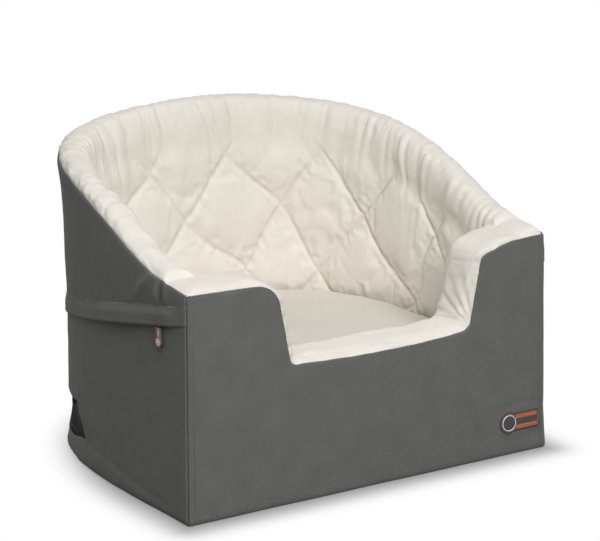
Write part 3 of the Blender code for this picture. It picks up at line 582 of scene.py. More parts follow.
def add(tree, kind, links=None, **settings):
    """A node with its settings, and its inputs set to values or joined to sockets."""
    node = tree.nodes.new(kind)
    for key, value in settings.items():
        setattr(node, key, value)
    for key, value in (links or {}).items():
        value = value.socket if isinstance(value, Number) else value
        if isinstance(value, bpy.types.NodeSocket):
            tree.links.new(value, node.inputs[key])
        else:
            node.inputs[key].default_value = value
    return node


def maths(operation, first, second=0.0):
    """The result of a math node on numbers, at least one of which is a socket's."""
    tree = (first if isinstance(first, Number) else second).socket.id_data
    links = {0: first, 1: second}
    return Number(add(tree, "ShaderNodeMath", links, operation=operation).outputs[0])


def hypotenuse(first, second):
    return maths("SQRT", first * first + second * second)


def cloud(tree, vector, scale, detail):
    """Soft noise, with so many cells in a metre."""
    links = {"Vector": vector, "Scale": scale, "Detail": detail}
    return Number(add(tree, "ShaderNodeTexNoise", links).outputs[0])


def split(tree, vector):
    """A vector's three parts."""
    return [Number(part) for part in add(tree, "ShaderNodeSeparateXYZ", {0: vector}).outputs]


def effect(name, **numbers):
    """A shader node group that takes a vector and numbers, and those inputs by name."""
    tree = bpy.data.node_groups.new(name, "ShaderNodeTree")
    tree.interface.new_socket(name="Vector", in_out="INPUT", socket_type="NodeSocketVector")
    for label, value in numbers.items():
        socket = tree.interface.new_socket(
            name=label, in_out="INPUT", socket_type="NodeSocketFloat")
        socket.default_value = value
    given = tree.nodes.new("NodeGroupInput").outputs
    return tree, {label: Number(given[label]) for label in ("Vector", *numbers)}


def give(tree, **results):
    """Opens an output of the group for each result."""
    for label in results:
        tree.interface.new_socket(name=label, in_out="OUTPUT", socket_type="NodeSocketFloat")
    add(tree, "NodeGroupOutput", results)
    return tree


def woven_effect():
    """Plain weave: over and under threads, with uneven yarn and soft patches of tone."""
    tree, given = effect("woven_threads", Thread=0.001, Uneven=0.5)
    scaling = {0: given["Vector"], 3: 1.0 / given["Thread"]}
    scaled = add(tree, "ShaderNodeVectorMath", scaling, operation="SCALE").outputs[0]
    warp, weft = (maths("SINE", part * math.pi) for part in split(tree, scaled)[:2])
    crossing = warp * weft
    yarn = cloud(tree, scaled, 0.55, 3.0)
    patch = cloud(tree, given["Vector"], 26.0, 2.0)
    tone = crossing * 0.06 + (yarn - 0.5) * given["Uneven"] + patch * 0.35
    return give(tree, Height=crossing * 0.4 + yarn, Tone=tone + 0.325)


def pile_effect():
    """Short brushed pile: fine tufts, small pressed patches and slow changes of tone."""
    tree, given = effect("brushed_pile", Tuft=0.0012, Pressed=0.5)
    tufts = cloud(tree, given["Vector"], 1.0 / given["Tuft"], 4.0)
    patch = cloud(tree, given["Vector"], 70.0, 3.0)
    slow = cloud(tree, given["Vector"], 9.0, 1.0)
    return give(tree, Height=tufts * 0.6 + patch * given["Pressed"],
                Tone=patch * 0.4 + slow * 0.6)


def moulded_effect():
    """Fine matt grain of moulded or cast pieces, with faint handling marks."""
    tree, given = effect("moulded_grain", Grain=0.0006, Roughness=0.5, Marks=0.15)
    grain = cloud(tree, given["Vector"], 1.0 / given["Grain"], 2.0)
    marks = cloud(tree, given["Vector"], 180.0, 4.0)
    rough = given["Roughness"] + (marks - 0.5) * given["Marks"]
    return give(tree, Height=grain, Roughness=rough, Tone=marks)


WOVEN, PILE, MOULDED = woven_effect(), pile_effect(), moulded_effect()


def surface(name, effect_tree, values, dark, light, relief, uv, constants):
    """A material whose tone and relief come from one effect; constants sit on the shader."""
    material = bpy.data.materials.new(name)
    material.use_nodes = True
    tree = material.node_tree
    shader = tree.nodes["Principled BSDF"]
    coords = add(tree, "ShaderNodeUVMap", uv_map="cloth").outputs[0] if uv else \
        add(tree, "ShaderNodeTexCoord").outputs["Object"]
    group = add(tree, "ShaderNodeGroup", node_tree=effect_tree)
    tree.links.new(coords, group.inputs["Vector"])
    for key, value in values.items():
        group.inputs[key].default_value = value
    tone = add(tree, "ShaderNodeMix", {"Factor": group.outputs["Tone"], 6: (*dark, 1),
                                       7: (*light, 1)}, data_type="RGBA")
    bumps = add(tree, "ShaderNodeBump", {"Strength": 1.0, "Distance": relief,
                                         "Height": group.outputs["Height"]})
    tree.links.new(tone.outputs[2], shader.inputs["Base Color"])
    tree.links.new(bumps.outputs[0], shader.inputs["Normal"])
    if "Roughness" in group.outputs:
        tree.links.new(group.outputs["Roughness"], shader.inputs["Roughness"])
    for key, value in constants.items():
        shader.inputs[key.replace("_", " ")].default_value = value
    return material


def woven(name, thread, dark, light, relief, uneven=0.5, uv=True, **constants):
    return surface(name, WOVEN, {"Thread": thread, "Uneven": uneven}, dark, light, relief, uv,
                   constants)


def piled(name, tuft, pressed, dark, light, uv=True, **constants):
    return surface(name, PILE, {"Tuft": tuft, "Pressed": pressed}, dark, light, 0.00080, uv,
                   constants)


def moulded(name, grain, roughness, marks, dark, light, relief, **constants):
    return surface(name, MOULDED, {"Grain": grain, "Roughness": roughness, "Marks": marks},
                   dark, light, relief, False, constants)


GREY = woven("grey_cloth", 0.0011, (0.064, 0.066, 0.062), (0.186, 0.189, 0.177), 0.00040, 0.75,
             Roughness=0.86, Sheen_Weight=0.12, Sheen_Roughness=0.5)
CREAM = piled("cream_plush", 0.0013, 0.5, (0.745, 0.700, 0.625), (0.835, 0.795, 0.730),
              Roughness=0.95, Sheen_Weight=0.25, Sheen_Roughness=0.6)
# The floor pad's pile is pressed flatter than the lining's. Its colour is darker as painted
# shade, for the shade deep down on the seat's floor.
CREAM_PRESSED_PAINTED_SHADE = piled("cream_plush_pressed_painted_shade", 0.0013, 0.7, (0.560, 0.520, 0.455),
                      (0.660, 0.622, 0.560), Roughness=0.95, Sheen_Weight=0.25,
                      Sheen_Roughness=0.6)
LINING = woven("black_lining", 0.0009, (0.006,) * 3, (0.013,) * 3, 0.00020, 0.6,
               Roughness=0.85, Specular_IOR_Level=0.15)
TAPE = woven("zip_tape", 0.0007, (0.035, 0.035, 0.034), (0.060, 0.060, 0.058), 0.00020,
             Roughness=0.88)
WEBBING = woven("black_webbing", 0.0016, (0.012,) * 3, (0.035,) * 3, 0.00050, Roughness=0.80)
THREAD_GREY = woven("grey_thread", 0.0004, (0.060, 0.062, 0.058), (0.100, 0.103, 0.096),
                    0.00005, uv=False, Roughness=0.75)
THREAD_CREAM = woven("cream_thread", 0.0004, (0.700, 0.670, 0.600), (0.800, 0.770, 0.710),
                     0.00005, uv=False, Roughness=0.75)
RUBBER = moulded("dark_rubber", 0.0006, 0.55, 0.2, (0.026, 0.027, 0.029),
                 (0.042, 0.043, 0.046), 0.00005)
COPPER = moulded("copper_rubber", 0.0006, 0.45, 0.2, (0.380, 0.095, 0.032),
                 (0.500, 0.150, 0.058), 0.00004)
WHITE = moulded("white_rubber", 0.0006, 0.50, 0.2, (0.720, 0.715, 0.700),
                (0.800, 0.795, 0.780), 0.00004)
TEETH = moulded("zip_teeth", 0.0005, 0.40, 0.2, (0.020,) * 3, (0.040,) * 3, 0.00003)
METAL = moulded("zip_metal", 0.0004, 0.34, 0.3, (0.080, 0.080, 0.082), (0.130, 0.130, 0.132),
                0.00002, Metallic=1.0)
STEEL = moulded("ring_steel", 0.0005, 0.20, 0.25, (0.560, 0.560, 0.565), (0.660,) * 3,
                0.00001, Metallic=1.0)
FOAM = piled("foam", 0.0020, 0.2, (0.700, 0.670, 0.540), (0.790, 0.765, 0.650), uv=False,
             Roughness=0.92)
BOARD = moulded("board", 0.0015, 0.6, 0.3, (0.040,) * 3, (0.065,) * 3, 0.00010)

SOFT_BODIES = ("seat", "floor_pad")


def dress(item, body, slot, *nodes):
    """Joins a piece to its body, in place of the nodes it stands for. Its slot is not used."""
    if body in SOFT_BODIES:
        points = np.empty(len(item.data.vertices) * 3)
        item.data.vertices.foreach_get("co", points)
        item.data.vertices.foreach_set("co", settle(points.reshape(-1, 3)).ravel())
        item.data.update()
    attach(item, body)
    if nodes:
        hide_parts(*nodes)
    return item


def declare_cloth(item, width, length, rests_on):
    """Works out a stretched cloth's area, that of one face and at most width by length, and does
    nothing with it.
    """
    area = min(sum(face.area for face in item.data.polygons) / 2, width * length)


def wall_cloth(name, u, z, inset, finish, node, flat, rests_on, wrapped=False, **shell):
    """A stretched cloth on the wall, for a node; finish holds its material and a slot's name,
    which is not used.
    """
    material, slot = finish
    outer = place(u, inset, z, wrapped)
    uv = np.stack(np.broadcast_arrays(u, z), -1)
    item = dress(cloth_shell(name, outer, uv, material, **shell), "seat", slot, node)
    declare_cloth(item, *flat, [rests_on])


GREY_CLOTH = (GREY, "grey_cloth")


# What repeats along a line: stitches and zip teeth

def repeat_tree():
    tree = bpy.data.node_groups.new("repeat_along_line", "GeometryNodeTree")
    for label, kind in (("Line", "Geometry"), ("Pitch", "Float"), ("Half Size", "Vector"),
                        ("Finish", "Material")):
        tree.interface.new_socket(name=label, in_out="INPUT", socket_type="NodeSocket" + kind)
    tree.interface.new_socket(name="Row", in_out="OUTPUT", socket_type="NodeSocketGeometry")
    given = tree.nodes.new("NodeGroupInput").outputs
    curve = add(tree, "GeometryNodeMeshToCurve", {0: given["Line"]}).outputs[0]
    spaced = add(tree, "GeometryNodeResampleCurve", {"Curve": curve, "Length": given["Pitch"]},
                 mode="LENGTH").outputs[0]
    tangent = tree.nodes.new("GeometryNodeInputTangent").outputs[0]
    ahead = add(tree, "FunctionNodeAlignRotationToVector", {"Vector": tangent},
                axis="Z").outputs[0]
    level = add(tree, "FunctionNodeAlignRotationToVector",
                {"Rotation": ahead, "Vector": (0, 0, 1)}, axis="X", pivot_axis="Z").outputs[0]
    bead = add(tree, "GeometryNodeMeshUVSphere",
               {"Segments": 6, "Rings": 4, "Radius": 1.0}).outputs[0]
    rows = add(tree, "GeometryNodeInstanceOnPoints", {
        "Points": spaced, "Instance": bead, "Rotation": level, "Scale": given["Half Size"]})
    real = add(tree, "GeometryNodeRealizeInstances", {0: rows.outputs[0]})
    smooth = add(tree, "GeometryNodeSetShadeSmooth", {0: real.outputs[0]})
    finish = add(tree, "GeometryNodeSetMaterial", {"Geometry": smooth.outputs[0],
                                                   "Material": given["Finish"]})
    add(tree, "NodeGroupOutput", {"Row": finish.outputs[0]})
    return tree


REPEAT = repeat_tree()

# Pitch and half size of the stitches and of the zip's teeth
COVER_STITCH = 0.0038, (0.00035, 0.00035, 0.0013)
LINING_STITCH = 0.0044, (0.00042, 0.00042, 0.0014)
WEBBING_STITCH = 0.0026, (0.0003, 0.0003, 0.0010)
ZIP_TOOTH = TOOTH_PITCH, (0.0010, 0.0010, 0.0008)


def row_of(name, lines, pitch, half_size, material):
    """One bead at each step along the lines, as a plain mesh."""
    points, edges = [], []
    for line in lines:
        start = len(points)
        points += [tuple(map(float, point)) for point in line]
        edges += [(n, n + 1) for n in range(start, len(points) - 1)]
    mesh = bpy.data.meshes.new(name)
    mesh.from_pydata(points, edges, [])
    item = link(bpy.data.objects.new(name, mesh))
    modifier = item.modifiers.new("repeat", "NODES")
    modifier.node_group = REPEAT
    values = {"Pitch": pitch, "Half Size": half_size, "Finish": material}
    for socket in REPEAT.interface.items_tree:
        if socket.in_out == "INPUT" and socket.name in values:
            modifier[socket.identifier] = values[socket.name]
    bpy.context.view_layer.update()
    graph = bpy.context.evaluated_depsgraph_get()
    item.data = bpy.data.meshes.new_from_object(item.evaluated_get(graph))
    item.modifiers.clear()
    if not item.data.materials:
        item.data.materials.append(material)
    return item


# Cover

def columns(start, end, step, fine_ends=0.012, fine_step=0.0016):
    """Arc lengths with closer steps at both ends."""
    near = np.arange(start, start + fine_ends, fine_step)
    count = round((end - start - 2 * fine_ends) / step) + 1
    middle = np.linspace(start + fine_ends, end - fine_ends, count)
    return np.concatenate([near, middle, (start + end - near)[::-1]])


def seam_turn(along):
    """How far a side piece's edge is turned in at the corner seam."""
    return SEAM_TURN * fade(along - COVER_START, SEAM_TURN_REACH)


def foot_inset(z):
    """How far the cover's rounded foot lies in."""
    turned = np.clip((FOOT_RISE - z) / FOOT_RISE, 0, 1)
    return FOOT_INSET * (1 - np.sqrt(np.maximum(1 - turned ** 2, 0)))


def make_upper_cover():
    u = columns(COVER_START, TOTAL - COVER_START, 0.0045)[None, :]
    share = shares(46, 1.25)[:, None]
    high, low = rim_height(u), zip_height(u) + ZIP_HALF
    z = high + (low - high) * share
    along = to_corner(u)
    out = cloth_waves(u, z)
    out += 0.0016 * np.sin(math.pi * share) * ease(along, 0.01, 0.10)
    # Gathers above the zip and below the rim
    out += (0.0009 * puckers(u / 0.009, z / 0.03, 8) * fade(z - low - 0.008, 0.012)
            * ease(along, 0.0, 0.02))
    out += 0.0005 * puckers(u / 0.007, z / 0.03, 9) * fade(high - z, 0.010)
    # The pull lines below the rim near the front corner, weaker on the right
    dent = bump(along - 0.0643, 0.0042) * bump(z - 0.316, 0.014)
    fold = bump(along - 0.0750, 0.0055) * bump(z - 0.311, 0.017)
    fold_front = bump(along - 0.0535, 0.006) * bump(z - 0.316, 0.015)
    slant = (along - 0.0897) + (z - 0.333) * 1.19
    ridge = bump(slant / 1.55, 0.0075) * bump(along - 0.104, 0.034)
    pulled = -0.0040 * dent + 0.0044 * fold + 0.0030 * fold_front + 0.0038 * ridge
    out += pulled * np.where(u < TOTAL / 2, 1, 0.5)
    out -= seam_turn(along)
    wall_cloth("cover_upper", u, z, 0.0016 * fade(high - z, 0.0022) - out, GREY_CLOTH,
               "upper_cover", (TOTAL, 0.280), "wall_core", wrapped=True)


def make_lower_cover():
    u0 = columns(COVER_START, TOTAL - COVER_START, 0.0045)
    for at in (WINDOW_MIDDLE, TOTAL - WINDOW_MIDDLE):
        u0[np.argmin(np.abs(u0 - at))] = at
    u0 = u0[None, :]
    top = zip_height(u0) - ZIP_HALF
    above = top + (WINDOW_HIGH - top) * shares(WINDOW_ROW + 1, 1.15)[:, None]
    across = np.linspace(WINDOW_HIGH, WINDOW_LOW, WINDOW_ROWS + 1)[1:]
    below = np.linspace(WINDOW_LOW, COVER_FOOT, 11)[1:]
    level = np.concatenate([across, below])[:, None]
    even = np.concatenate([above, np.broadcast_to(level, (len(level), u0.shape[1]))])
    slant = WINDOW_SLANT * np.clip((even - WINDOW_CENTRE) / WINDOW_TALL, -0.5, 0.5)
    u = u0 + slant * (bump(u0 - WINDOW_MIDDLE, 0.035) - bump(u0 - TOTAL + WINDOW_MIDDLE, 0.035))
    along = to_corner(u)
    # The strip under the windows has sagged, and is drawn in behind the corner
    sag = between(along, 0.305, 0.365, 0.42, 0.485) * between(even, 0.0, 0.030, 0.100, 0.145)
    drawn = (between(along, 0.392, 0.425, 0.440, 0.480)
             * np.clip(even / WINDOW_LOW, 0, 1) * (even <= WINDOW_LOW))
    z = even - 0.0105 * sag - 0.0100 * drawn
    cells = (u0[0, :-1] + u0[0, 1:]) / 2
    keep = np.ones((z.shape[0] - 1, z.shape[1] - 1), bool)
    keep[WINDOW_ROW:WINDOW_ROW + WINDOW_ROWS,
         (cells > WINDOW_MIDDLE) & (cells < TOTAL - WINDOW_MIDDLE)] = False
    out = cloth_waves(u, z)
    crown = np.sin(math.pi * np.clip((z - 0.03) / (top - 0.03), 0, 1))
    out += 0.0010 * crown * ease(along, 0.01, 0.12)
    # The folded hem round the window, and the cloth drawn in above it
    out -= (0.0008 * ease(along, WINDOW_MIDDLE - 0.01, WINDOW_MIDDLE + 0.05)
            * bump(z - WINDOW_HIGH, 0.030))
    beside = along - WINDOW_MIDDLE - slant
    out += 0.0013 * bump(beside + 0.0050, 0.0045) * between(z, 0.030, 0.045, 0.105, 0.125)
    out -= 0.0009 * bump(beside + 0.0125, 0.0030) * between(z, 0.030, 0.045, 0.110, 0.130)
    out += 0.0008 * ease(along, 0.29, 0.34) * (1 - ease(z, 0.032, 0.044))
    out -= 0.0072 * drawn
    out -= seam_turn(along)
    # The crease that runs from the window's corner down to the front corner
    line = z - (0.010 + 0.030 * np.clip(along / 0.297, 0, 1) ** 1.4)
    out += ((0.0010 * ease(-line, -0.002, 0.004) - 0.0007 * bump(line - 0.004, 0.004))
            * ease(along, 0.02, 0.12) * (along < 0.33))
    pull = (along - 0.24) + (z - 0.05) * 0.9
    out += 0.0004 * bump(pull, 0.008) * bump(z - 0.07, 0.035)
    out += 0.0007 * puckers(u / 0.010, z / 0.03, 18) * fade(top - z, 0.014)
    wall_cloth("cover_lower", u, z, foot_inset(z) - out, GREY_CLOTH, "lower_cover",
               (TOTAL, 0.290), "wall_core", wrapped=True, keep=keep)


def nearest_on(line, points):
    """For each point (x, z), the nearest point of a line and how far it is."""
    best = np.full(len(points), np.inf)
    found = np.array(points)
    for start, step in zip(line[:-1], np.diff(line, axis=0)):
        t = np.clip((points - start) @ step / max(step @ step, 1e-12), 0, 1)
        spot = start + t[:, None] * step
        far = np.linalg.norm(points - spot, axis=1)
        closer = far < best
        best[closer], found[closer] = far[closer], spot[closer]
    return found, best


def panel_grid(half_span, low, line, step):
    """A grid of (x, z) fitted under a line, and which of its cells are kept."""
    high = line[:, 1].max()
    x = np.linspace(-half_span, half_span, round(2 * half_span / step) + 1)
    z = np.linspace(low, high, round((high - low) / step) + 1)
    gx, gz = np.meshgrid(x, z, indexing="xy")
    top = np.interp(x, *line.T)
    centre_x, centre_z = (x[:-1] + x[1:]) / 2, (z[:-1] + z[1:]) / 2
    keep = centre_z[:, None] < np.interp(centre_x, *line.T)[None, :] - step * 0.1
    count = np.zeros(gx.shape)
    for dz in (0, 1):
        for dx in (0, 1):
            count[dz:dz + keep.shape[0], dx:dx + keep.shape[1]] += keep
    inside = (gx > -half_span + 1e-6) & (gx < half_span - 1e-6)
    rim = (count > 0) & (count < 4) & (gz > low + step)
    rim &= inside | (np.abs(gz - top[None, :]) < step)
    spots = np.stack([gx, gz], -1)
    spots[rim] = nearest_on(line, spots[rim])[0]
    fixed = rim | (np.abs(gx) > half_span - 1e-6) | (gz < low + 1e-6) | (count == 0)
    for _ in range(6):
        mean = np.zeros_like(spots)
        weight = np.zeros(gx.shape)
        for axis, shift in ((0, 1), (0, -1), (1, 1), (1, -1)):
            ok = np.roll(count, shift, axis) > 0
            mean += np.where(ok[..., None], np.roll(spots, shift, axis), 0)
            weight += ok
        mean /= np.maximum(weight, 1)[..., None]
        spots = np.where(fixed[..., None], spots, spots * 0.5 + mean * 0.5)
    return spots, keep


def make_front_cover():
    seam = SEAM_X - 0.0008
    line = notch_corners(-0.0008, HALF_WIDTH)
    inside = line[np.abs(line[:, 0]) < seam]
    ends = np.interp((-seam, seam), *line.T)
    line = np.vstack([(-seam, ends[0]), inside, (seam, ends[1])])
    spots, keep = panel_grid(seam, COVER_FOOT, line, 0.0042)
    x, z = spots[..., 0], spots[..., 1]
    edge = nearest_on(line, spots.reshape(-1, 2))[1].reshape(x.shape)
    side = seam - np.abs(x)
    out = waves(x, z, (0.0006, 0.085, 0.070, 31), (0.0003, 0.032, 0.030, 32))
    out += 0.0009 * np.sin(math.pi * np.clip(z / NOTCH_HEIGHT, 0, 1)) * ease(side, 0, 0.08)
    out -= 0.0004 * fade(edge, 0.0030)
    out += 0.0007 * puckers(x / 0.008, z / 0.012, 33, 0.3) * fade(edge, 0.010)
    out += 0.0003 * bump(side - 0.0045, 0.0030) - 0.0004 * bump(side - 0.0080, 0.0012)
    # Round the corners, into the seams
    turned = np.clip(np.abs(x) - HALF_WIDTH + CORNER, 0, CORNER)
    out += np.sqrt(CORNER ** 2 - turned ** 2) - CORNER
    # The cloth round the badge
    badge_x, badge_z = HALF_WIDTH - 0.0495, 0.0505
    ring = np.hypot((x - badge_x) / 0.046, (z - badge_z) / 0.027)
    out -= 0.0012 * bump(ring - 1, 0.30) * ease(ring, 0.7, 1.0)
    pull = (x - badge_x + 0.07) + (z - 0.07) * 0.5
    out += 0.0009 * bump(pull, 0.012) * bump(z - 0.075, 0.05)
    outer = np.stack([x, FRONT - out + foot_inset(z), z], -1)
    item = cloth_shell("cover_front", outer, spots, GREY, keep=keep)
    dress(item, "seat", "grey_cloth", "front_cover")
    declare_cloth(item, 2 * HALF_WIDTH, FRONT_HIGH, ["front_core"])


def make_front_edge():
    """The gathered edge of the front panel, turned over along the notch."""
    line = notch_line(-0.0012, HALF_WIDTH - 0.005, 0.0013)
    tangent = unit(np.gradient(line, axis=0))
    up = np.stack([-tangent[:, 1], tangent[:, 0]], -1)
    reach = lengths(line)
    uneven = reach + 0.003 * noise(reach / 0.02, 0, 41)
    pucker = np.abs(np.sin(math.pi * uneven / 0.0066)) ** 0.6
    size = 1 + 0.22 * (pucker - 0.6) + 0.14 * noise(reach / 0.012, 1, 42)
    rings = []
    for angle in np.linspace(0, 2 * math.pi, 12, endpoint=False):
        depth = FRONT + 0.0019 + 0.0019 * math.cos(angle) * size
        lift = 0.0014 * math.sin(angle) * size
        x, z = (line + up * lift[:, None]).T
        rings.append(np.stack([x, depth, z], -1))
    item = loft("front_edge", np.stack(rings, 1), GREY)
    dress(item, "seat", "grey_cloth")


def make_bottom_cover():
    step, inset = 0.0075, 0.0052
    edge = place(np.linspace(0, TOTAL, round(TOTAL / step) + 1), inset, 0)
    x = np.linspace(edge[-1, 0], edge[0, 0], round(2 * HALF_WIDTH / step))[1:-1]
    loop = np.vstack([edge[:, :2], np.stack([x, np.full(len(x), FRONT + inset)], -1)])
    loop[:, 1] = np.maximum(loop[:, 1], FRONT + inset)
    layers = ((0.35, 0.0), (0.7, 0.0), (0.985, 0.0), (1.0, 0.0007), (1.0, 0.0017),
              (0.985, SKIN), (0.7, SKIN), (0.35, SKIN))
    item = loft("cover_bottom", stacked(loop, layers, np.array([0, 0.02])), GREY)
    dress(item, "seat", "grey_cloth", "bottom_cover")
    declare_cloth(item, 2 * HALF_WIDTH, BACK - FRONT, ["base_board"])


def make_sleeve():
    u = columns(SLEEVE_START, TOTAL - SLEEVE_START, 0.0050)[None, :]
    low, high = WINDOW_LOW - SLEEVE_MARGIN, WINDOW_HIGH + SLEEVE_MARGIN
    z = high + (low - high) * shares(24, 1.3)[:, None]
    off = z - WINDOW_CENTRE
    ends = to_corner(u) - SLEEVE_START
    out = 0.0030 + cloth_waves(u, z)
    out += 0.0022 * np.clip(1 - (off / ((high - low) / 2)) ** 4, 0, 1)
    out += 0.0007 * bump(ends - 0.006, 0.004) - 0.0006 * bump(np.abs(off) - 0.036, 0.0016)
    wall_cloth("back_sleeve", u, z, -out, GREY_CLOTH, "belt_sleeve",
               (TOTAL - 2 * SLEEVE_START, high - low), "cover_lower")


def make_flap():
    """The weather flap: sewn above the zip, swelling over it, with a loose lower edge."""
    start = SEAM_U + 0.0010
    u = columns(start, TOTAL - start, 0.0040, 0.014)[None, :]
    share = shares(22, 1.1)[:, None]
    high, low = zip_height(u) + FLAP_RISE, zip_height(u) - FLAP_DROP
    ends = to_corner(u) - SEAM_U
    loose = ease(ends, 0.0, 0.03)
    swelling = 0.0004 + 0.0022 * ease(ends, 0.0, 0.05)
    swelling = swelling + 0.0032 * between(ends, 0.012, 0.050, 0.20, 0.26)
    stand = swelling * np.clip(share / 0.45, 0, 1) ** 0.8 + 0.0005
    stand += 0.0014 * between(ends, 0.10, 0.16, 0.24, 0.30) * share - 0.0015 * fade(share, 0.06)
    stand += waves(u, share, (0.0006, 0.045, 1 / 1.5, 51), (0.0003, 0.016, 0.5, 52)) * loose
    gather = puckers(u / 0.0060, share * 1.2, 53) * fade(share, 0.17)
    stand += 0.0006 * gather * (0.7 + 2.2 * bump(u - 0.062, 0.020))
    stand += 0.0002 * bump(share - 0.90, 0.05) - 0.0001 * bump(share - 0.80, 0.04)
    z = high + (low - high) * share + 0.0006 * noise(u / 0.050, 0, 54) * share * loose
    wall_cloth("flap", u, z, -stand, GREY_CLOTH, "zip_flap", (TOTAL, FLAP_RISE + FLAP_DROP),
               "cover_upper", wrapped=True, thickness=0.0016)


def make_zip():
    u = np.linspace(0.003, TOTAL - 0.003, 330)[None, :]
    for node, low, high in (("zip_tape_upper", TAPE_NEAR, TAPE_FAR),
                            ("zip_tape_lower", -TAPE_FAR, -TAPE_NEAR)):
        z = zip_height(u) + np.linspace(high, low, 5)[:, None]
        inset = 0.0010 + 0.0001 * noise(u / 0.01, z / 0.004, 61)
        wall_cloth(node + "_cloth", u, z, inset, (TAPE, "zip_tape"), node,
                   (TOTAL, TAPE_WIDTH), "cover_lower", thickness=THIN_CLOTH)
    u = np.linspace(ZIP_END, TOTAL - ZIP_END, 640)
    rows = [place(u + shift, 0.0006, zip_height(u + shift) + rise)
            for shift, rise in ((0, -0.0007), (TOOTH_PITCH / 2, 0.0007))]
    teeth = row_of("zip_coil", rows, *ZIP_TOOTH, TEETH)
    dress(teeth, "seat", "zip_teeth", "zip_chain")


def channel_share(u):
    """From 0 where the channel starts to 1 where it is fully deep."""
    return np.clip((to_corner(u) - CHANNEL_START) / (CHANNEL_FULL - CHANNEL_START), 0, 1)


def make_channel():
    u = np.linspace(CHANNEL_START, TOTAL - CHANNEL_START, 190)[None, :]
    z = np.linspace(WINDOW_HIGH + 0.003, WINDOW_LOW - 0.0215, 27)[:, None]
    deep = INNER + (CHANNEL_DEPTH - INNER) * channel_share(u)
    lip = np.clip(np.abs(z - WINDOW_CENTRE) / (WINDOW_TALL / 2), 0, 1) ** 8
    inset = deep * (1 - lip) + np.minimum(INNER, deep) * lip
    inset += waves(u, z, (0.0006, 0.03, 0.02, 71)) * (1 - lip)
    inset += 0.0005 * folds(u / 0.02 + z / 0.03, z / 0.05, 72)
    wall_cloth("channel_cloth", u, z, inset, (LINING, "black_lining"), "channel_lining",
               (TOTAL - 2 * CHANNEL_START, 0.075), "slab_middle", thickness=THIN_CLOTH)


# Quilted lining

def quilt_places(reach, z):
    """Place in the quilting's pattern: the two counts of its slanting seams."""
    shift_x, shift_z = np.zeros_like(z), np.zeros_like(z)
    for at, level, dx, dz in SEAM_SHIFTS:
        weight = np.exp(-((reach - at) ** 2 + (z - level) ** 2) / (2 * SHIFT_SPREAD ** 2))
        shift_x, shift_z = shift_x + weight * dx, shift_z + weight * dz
    p = (reach - shift_x - SEAM_NODE[0]) / SEAM_CELL[0]
    q = (z - shift_z - SEAM_NODE[1]) / SEAM_CELL[1]
    return (p + q) / 2, (p - q) / 2


def seam_distances(first, second):
    return tuple(np.abs(count - np.round(count)) * SEAM_GAP for count in (first, second))


def quilt_puff(reach, z, soft=0.020):
    """From 0 on a seam to nearly 1 in the middle of a diamond."""
    near, far = seam_distances(*quilt_places(reach, z))
    return (1 - fade(near, soft)) * (1 - fade(far, soft))


def lean(u, z):
    """Inset of the lining's face, which leans in towards the floor."""
    top = rim_height(u) - 0.010
    share = np.clip((z - FLOOR) / (top - FLOOR), 0, 1) * 1.25
    smooth = np.where(share < 0.85, share, 0.85 + 0.15 * np.tanh((share - 0.85) / 0.15))
    return LINER_BASE + (LINER_TOP - LINER_BASE) * smooth


def boxed(value, power):
    """A cosine or sine made squarer."""
    return np.sign(value) * np.abs(value) ** power


def lining_section(u):
    """The wall lining's section at each place: up the roll, down the wall and back behind it."""
    rim = rim_height(u)
    ends = np.minimum(u - u[0], u[-1] - u)
    crown = 0.0125 * (0.80 + 0.20 * np.clip(ends / 0.070, 0, 1)) + 0.0035
    crown = crown * np.sqrt(np.maximum(arch(ends / 0.010), 0.10))
    turn = np.linspace(math.pi, -0.30, ROLL_ROWS)[None, :]
    across, rise = np.cos(turn), np.sin(turn)
    roll_inset = np.broadcast_to(0.0261 + 0.0238 * boxed(across, 0.80), (len(u), ROLL_ROWS))
    away = ease(ends, 0.0, 0.05)
    shoulder = np.where(across < 0, -0.0030, -0.0030 - 0.0260 * away)
    upper = (crown - 0.0030 - shoulder) * np.abs(rise) ** 0.85
    roll_z = rim + shoulder + np.where(rise > 0, upper, -0.0080 * np.abs(rise))
    top = rim - 0.0090 - 0.0260 * away
    wall_z = top + (FLOOR - top) * np.linspace(0, 1, WALL_ROWS)[None, :]
    depth = top - wall_z
    quilted = (ease(depth, 0.005, 0.045) * ease(wall_z - FLOOR, -0.004, 0.030)
               * ease(ends, 0.0, 0.030))
    puffed = 0.0058 * quilt_puff(lining_reach(u) + 0 * wall_z, wall_z, 0.013) * quilted
    wall_inset = lean(u, wall_z) + puffed + 0.0056 * fade(depth, 0.034) - 0.0004
    back_inset = np.array([[FOAM_BASE + 0.0005, 0.0455, 0.0410, FOAM_TOP + 0.0005, 0.020]])
    back_z = FLOOR + (rim - 0.011 - FLOOR) * np.array([[0, 0.35, 0.68, 1.0, 1.0]])
    back_inset = np.broadcast_to(back_inset, back_z.shape)
    return (np.concatenate([roll_inset, wall_inset, back_inset], 1),
            np.concatenate([roll_z, wall_z, back_z], 1), wall_z)


def swollen_lining(u):
    """The lining's skin after its padding has swelled between the seams."""
    inset, z, wall_z = lining_section(u)
    rings = place(np.broadcast_to(u, z.shape), inset, z)
    wall_end = ROLL_ROWS + WALL_ROWS
    near, far = seam_distances(*quilt_places(lining_reach(u) + 0 * wall_z, wall_z))
    held = np.zeros(z.shape)
    held[:, ROLL_ROWS:wall_end] = (bump(np.minimum(near, far), 0.0045)
                                   * ease(rim_height(u) - wall_z, 0.025, 0.060))
    held[:, :2] = held[:, wall_end - 2:] = 1
    held[:2] = held[-2:] = 1
    swollen = swell("wall_lining_sim", rings, held, 2.2, 0.0045, 0.035)
    rows = np.arange(z.shape[1])[None, :, None]
    rings += (swollen - rings) * (0.45 + 0.55 * ease(rows, ROLL_ROWS + 2, ROLL_ROWS + 12))
    return evened(rings, 6, 1, bump(rows - ROLL_ROWS, 5.0))


